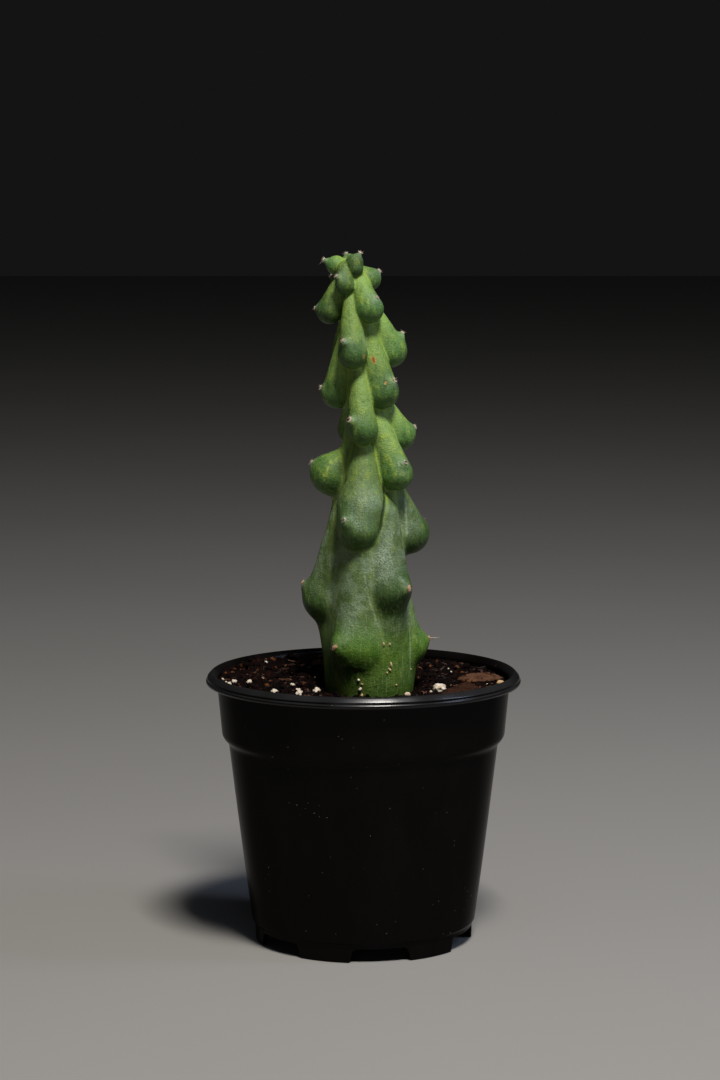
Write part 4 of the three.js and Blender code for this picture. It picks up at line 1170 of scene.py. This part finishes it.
# perlite dust and grit: on the soil by x, y; on the skin by azimuth, height; then radius, stain, and
# on the skin how many times taller than wide
soilGrit = [
    (-70.2, -8, 1.0, 0.1), (-68.6, -14, 0.8, 0.1), (-66.5, -17.5, 1.1, 0), (-50.6, 4.4, 0.6, 0.2),
    (43.4, 28.5, 0.5, 0), (33, -31, 0.9, 0.2), (30.5, -27.5, 0.8, 0), (-24.6, 16, 0.9, 0.8),
    (-30.5, -24, 0.8, 0.3), (62, -4, 0.6, 0.5),
]
skinGrit = [
    (17.8, 152.9, 0.8, 0.7, 1.4), (25.2, 152.8, 0.65, 0.7, 1.5), (27.6, 142.4, 0.7, 0.5, 2.6),
    (26.4, 139.8, 0.7, 0.6, 1.2), (24.6, 140.4, 0.5, 0.7, 1.0), (22.6, 138.4, 0.6, 0.8, 1.2),
    (-12.3, 135.4, 0.8, 0.1, 1.1), (-10.8, 130.6, 1.0, 0.1, 1.2), (-8.6, 133.2, 0.75, 0.8, 0.5),
    (-9.4, 127.4, 0.8, 0.9, 1.0), (35.6, 132, 0.6, 0.9, 1.0), (70.2, 138, 0.5, 0.9, 1.0),
]
# dirt dried on the pot's wall: azimuth, height, half its width
wallGrit = [
    (-9.6, 116.1, 0.4), (-8.3, 114.8, 0.24), (-4, 110.7, 0.22), (-5.2, 95.3, 0.22), (-33.7, 80, 0.24),
    (-29.9, 79.5, 0.36), (-25.8, 78.1, 0.24), (-24.3, 81, 0.2), (-21.7, 76.2, 0.4), (-19.3, 74.7, 0.24),
    (-15.9, 74.4, 0.36), (2.9, 65.7, 0.32), (45.3, 59, 0.24), (45.5, 56.4, 0.22), (-50.2, 44.3, 0.4),
    (-51.8, 32, 0.32), (67.3, 26, 0.36), (61.2, 29.9, 0.24), (61.6, 25, 0.22), (51.3, 21.9, 0.24),
    (6.4, 20.1, 0.26), (15.7, 21.2, 0.24), (-29.8, 15, 0.28), (11.3, 15.4, 0.36), (49.6, 10.7, 0.28),
    (-13.8, 15, 0.24), (128, 70, 0.32), (171, 38, 0.28), (-121, 92, 0.32), (-160, 22, 0.28),
]


def makeGrit(material):
    rng = np.random.default_rng(67)
    ball, faces = ballMesh(2)
    bits = [((x, y, roughSoil([x], [y])[0] + 0.5 * size), size, stain, 1.0) for x, y, size, stain in soilGrit]
    for azimuth, z, size, stain, tall in skinGrit:
        place, way = skinRound(azimuth, z)
        bits.append((place + 0.1 * size * way, size, stain, tall))
    radii, heights = np.transpose([corner[:2] for corner in potOutside[2:9]])
    bits += [(polar(azimuth, np.interp(z, heights, radii), z), size, *dirtLooks.values())
             for azimuth, z, size in wallGrit]
    shapes = []
    for place, size, stain, tall in bits:
        lumpy = dented(ball, (0.45, 3, rng.random(3) * noiseReach, 1.7, 63)) * perliteSizes["gritShape"]
        shapes.append((turned(lumpy, rng) * [1, 1, tall] * size + place, faces, stain))
    return gather("perlite_grit", shapes, material)


def makeGrains(material):
    ball, faces = ballMesh(4)
    for i in range(perliteSizes["grains"]):
        node = f"perlite_{i + 1}"
        low, high = (np.array(corner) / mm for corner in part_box(node))
        lumpy = dented(ball, (perliteSizes["relief"], 2.2, 13 * i, 1.3, 61),
                       (perliteSizes["fineRelief"], 6, 7 * i, 1.0, 62))
        points = (low + high) / 2 + lumpy * (high - low) / 2 * perliteSizes["fit"]
        stain = np.full(len(points), yellowed.get(i + 1, 0.0))
        seat(meshPiece(f"perlite_grain_{i + 1}", points, faces, material, {"tone": stain}), node)


perliteMaterial = makePerlite()
makeGrains(perliteMaterial)
seat(makeGrit(perliteMaterial))


# Bark chips: a lens of torn layers over each outline

chipSizes = {"columns": 96, "rings": 14, "middle": 0.06, "tatters": 0.08, "layers": 0.8, "edgeThick": 0.25}

# Outlines of a chip in shares of its length and width
chipOutlines = {
    "leaf": [(-0.5, -0.16), (-0.22, -0.5), (0.2, -0.38), (0.5, -0.08), (0.38, 0.34), (-0.05, 0.5),
             (-0.4, 0.3)],
    "wedge": [(-0.5, -0.34), (-0.1, -0.5), (0.42, -0.36), (0.5, 0.04), (0.27, 0.5), (-0.02, 0.22),
              (-0.34, -0.02)],
}

# Bark chips: outline, middle, length, width, thickness, turn, tilt, lift above the smooth ground, paleness
# (the second chip's low paleness is painted shade)
barkChips = [
    ("leaf", 58.5, 3, 22.5, 8.5, 2.4, 2, 20, 1.9, 0.9),
    ("wedge", 47.4, -25, 19.5, 13, 2.2, 6, 28, 2.2, 0.15),
    ("leaf", -20, 47, 16, 6, 2.2, 24, 6, 1.2, 0.0),
]


def chipReach(outline, angle):  # the outline's distance from the middle, in shares of length and width
    corners = np.array(outline + outline[:1])
    best = np.zeros_like(angle)
    for a, b in zip(corners[:-1], corners[1:]):
        way = np.stack([np.cos(angle), np.sin(angle)], 1)
        run = b - a
        bottom = way[:, 0] * run[1] - way[:, 1] * run[0]
        t = (a[0] * run[1] - a[1] * run[0]) / np.where(np.abs(bottom) < 1e-9, 1e-9, bottom)
        s = (a[0] * way[:, 1] - a[1] * way[:, 0]) / np.where(np.abs(bottom) < 1e-9, 1e-9, bottom)
        best = np.where((s >= -1e-6) & (s <= 1 + 1e-6) & (t > 0), t, best)
    return best


def makeChips(material):
    rings, middle, edgeThick = [chipSizes[key] for key in ("rings", "middle", "edgeThick")]
    angle = np.linspace(0, 2 * np.pi, chipSizes["columns"], endpoint=False)
    for i, (outline, midX, midY, length, width, thick, turn, tilt, lift, tone) in enumerate(barkChips):
        reach = chipReach(chipOutlines[outline], angle)
        circle = np.stack([np.cos(angle) * 9, np.sin(angle) * 9, 0 * angle + 5 * i], 1)
        edge = 1 + chipSizes["tatters"] * latticeNoise(circle, 0.9, 71)
        sides = [(1, share) for share in np.linspace(middle, 1, rings)]
        sides += [(-1, share) for share in np.linspace(1, middle, rings)]
        rows = []
        for side, share in sides:
            x = reach * share * np.cos(angle) * length * edge
            y = reach * share * np.sin(angle) * width * edge
            fade = math.sqrt(max(0.0, 1 - share ** 6))
            layers = latticeNoise(np.stack([x * 0.35, y, 0 * x + 9 * i], 1), 1.6, 72)
            z = side * thick / 2 * (edgeThick + (1 - edgeThick) * fade) * (1 + chipSizes["layers"] * layers)
            rows.append(np.stack([x, y, z], 1))
        points, faces = skinOver([0, 0, thick * 0.5], rows, [0, 0, -thick * 0.5], flip=True)
        place = (midX, midY, soilHeight(midX, midY) + lift)
        points = laid(points, *place, math.radians(turn), 0, math.radians(tilt))
        tones = np.full(len(points), tone)
        chip = meshPiece(f"bark_piece_{i + 1}", points, faces, material, {"tone": tones})
        seat(chip, f"bark_chip_{i + 1}")


makeChips(makeBark())
print("loose pieces:", perliteSizes["grains"], "perlite grains,", len(barkChips), "bark chips")


# Stage: a plain pale floor, and soft light from the upper right

floorHalf = 9000


def makeFloor():
    material, shader, add, place = newMaterial("floor matt paint")
    cloud = add("TexNoise", place, perMetre(400))
    complete(shader, add, {"Base Color": layered(add, "989693", ("9f9d9a", cloud)), "Roughness": 0.8})
    corners = [(x * floorHalf, y * floorHalf, 0) for x, y in ((-1, -1), (1, -1), (1, 1), (-1, 1))]
    return meshPiece("studio_floor", corners, [[0, 1, 2, 3]], material)


makeFloor()

aimHeight = 0.22  # the lights point at the middle of the stem, in metres
lights = {  # azimuth and elevation of the lamp, distance and size in metres, watts, colour
    "key": (18, 60, 1.8, (0.36, 0.36), 34, "fffaf2"),
    "strip": (14, 64, 1.9, (1.4, 0.3), 3, "dce8ff"),
    "front": (-6, 2, 1.7, (1.0, 0.5), 0.5, "f2f5ff"),
    "side": (80, 34, 1.6, (0.3, 0.8), 4.6, "c8dcff"),
}

for name, (azimuth, elevation, far, size, watts, colour) in lights.items():
    light = bpy.data.lights.new(name, "AREA")
    light.shape, light.energy = "RECTANGLE", watts
    light.size, light.size_y = size
    light.color = linearColour(colour)[:3]
    lamp = bpy.data.objects.new(name, light)
    turn, rise = math.radians(azimuth), math.radians(elevation)
    lamp.location = polar(azimuth, far * math.cos(rise), aimHeight + far * math.sin(rise))
    lamp.rotation_euler = (math.pi / 2 - rise, 0, turn)
    bpy.context.scene.collection.objects.link(lamp)

world = bpy.data.worlds.new("studio")
bpy.context.scene.world = world
world.use_nodes = True
setInputs(world.node_tree.nodes["Background"], {"Color": "babbbd", "Strength": 0.014})
bpy.context.scene.view_settings.view_transform = "Standard"
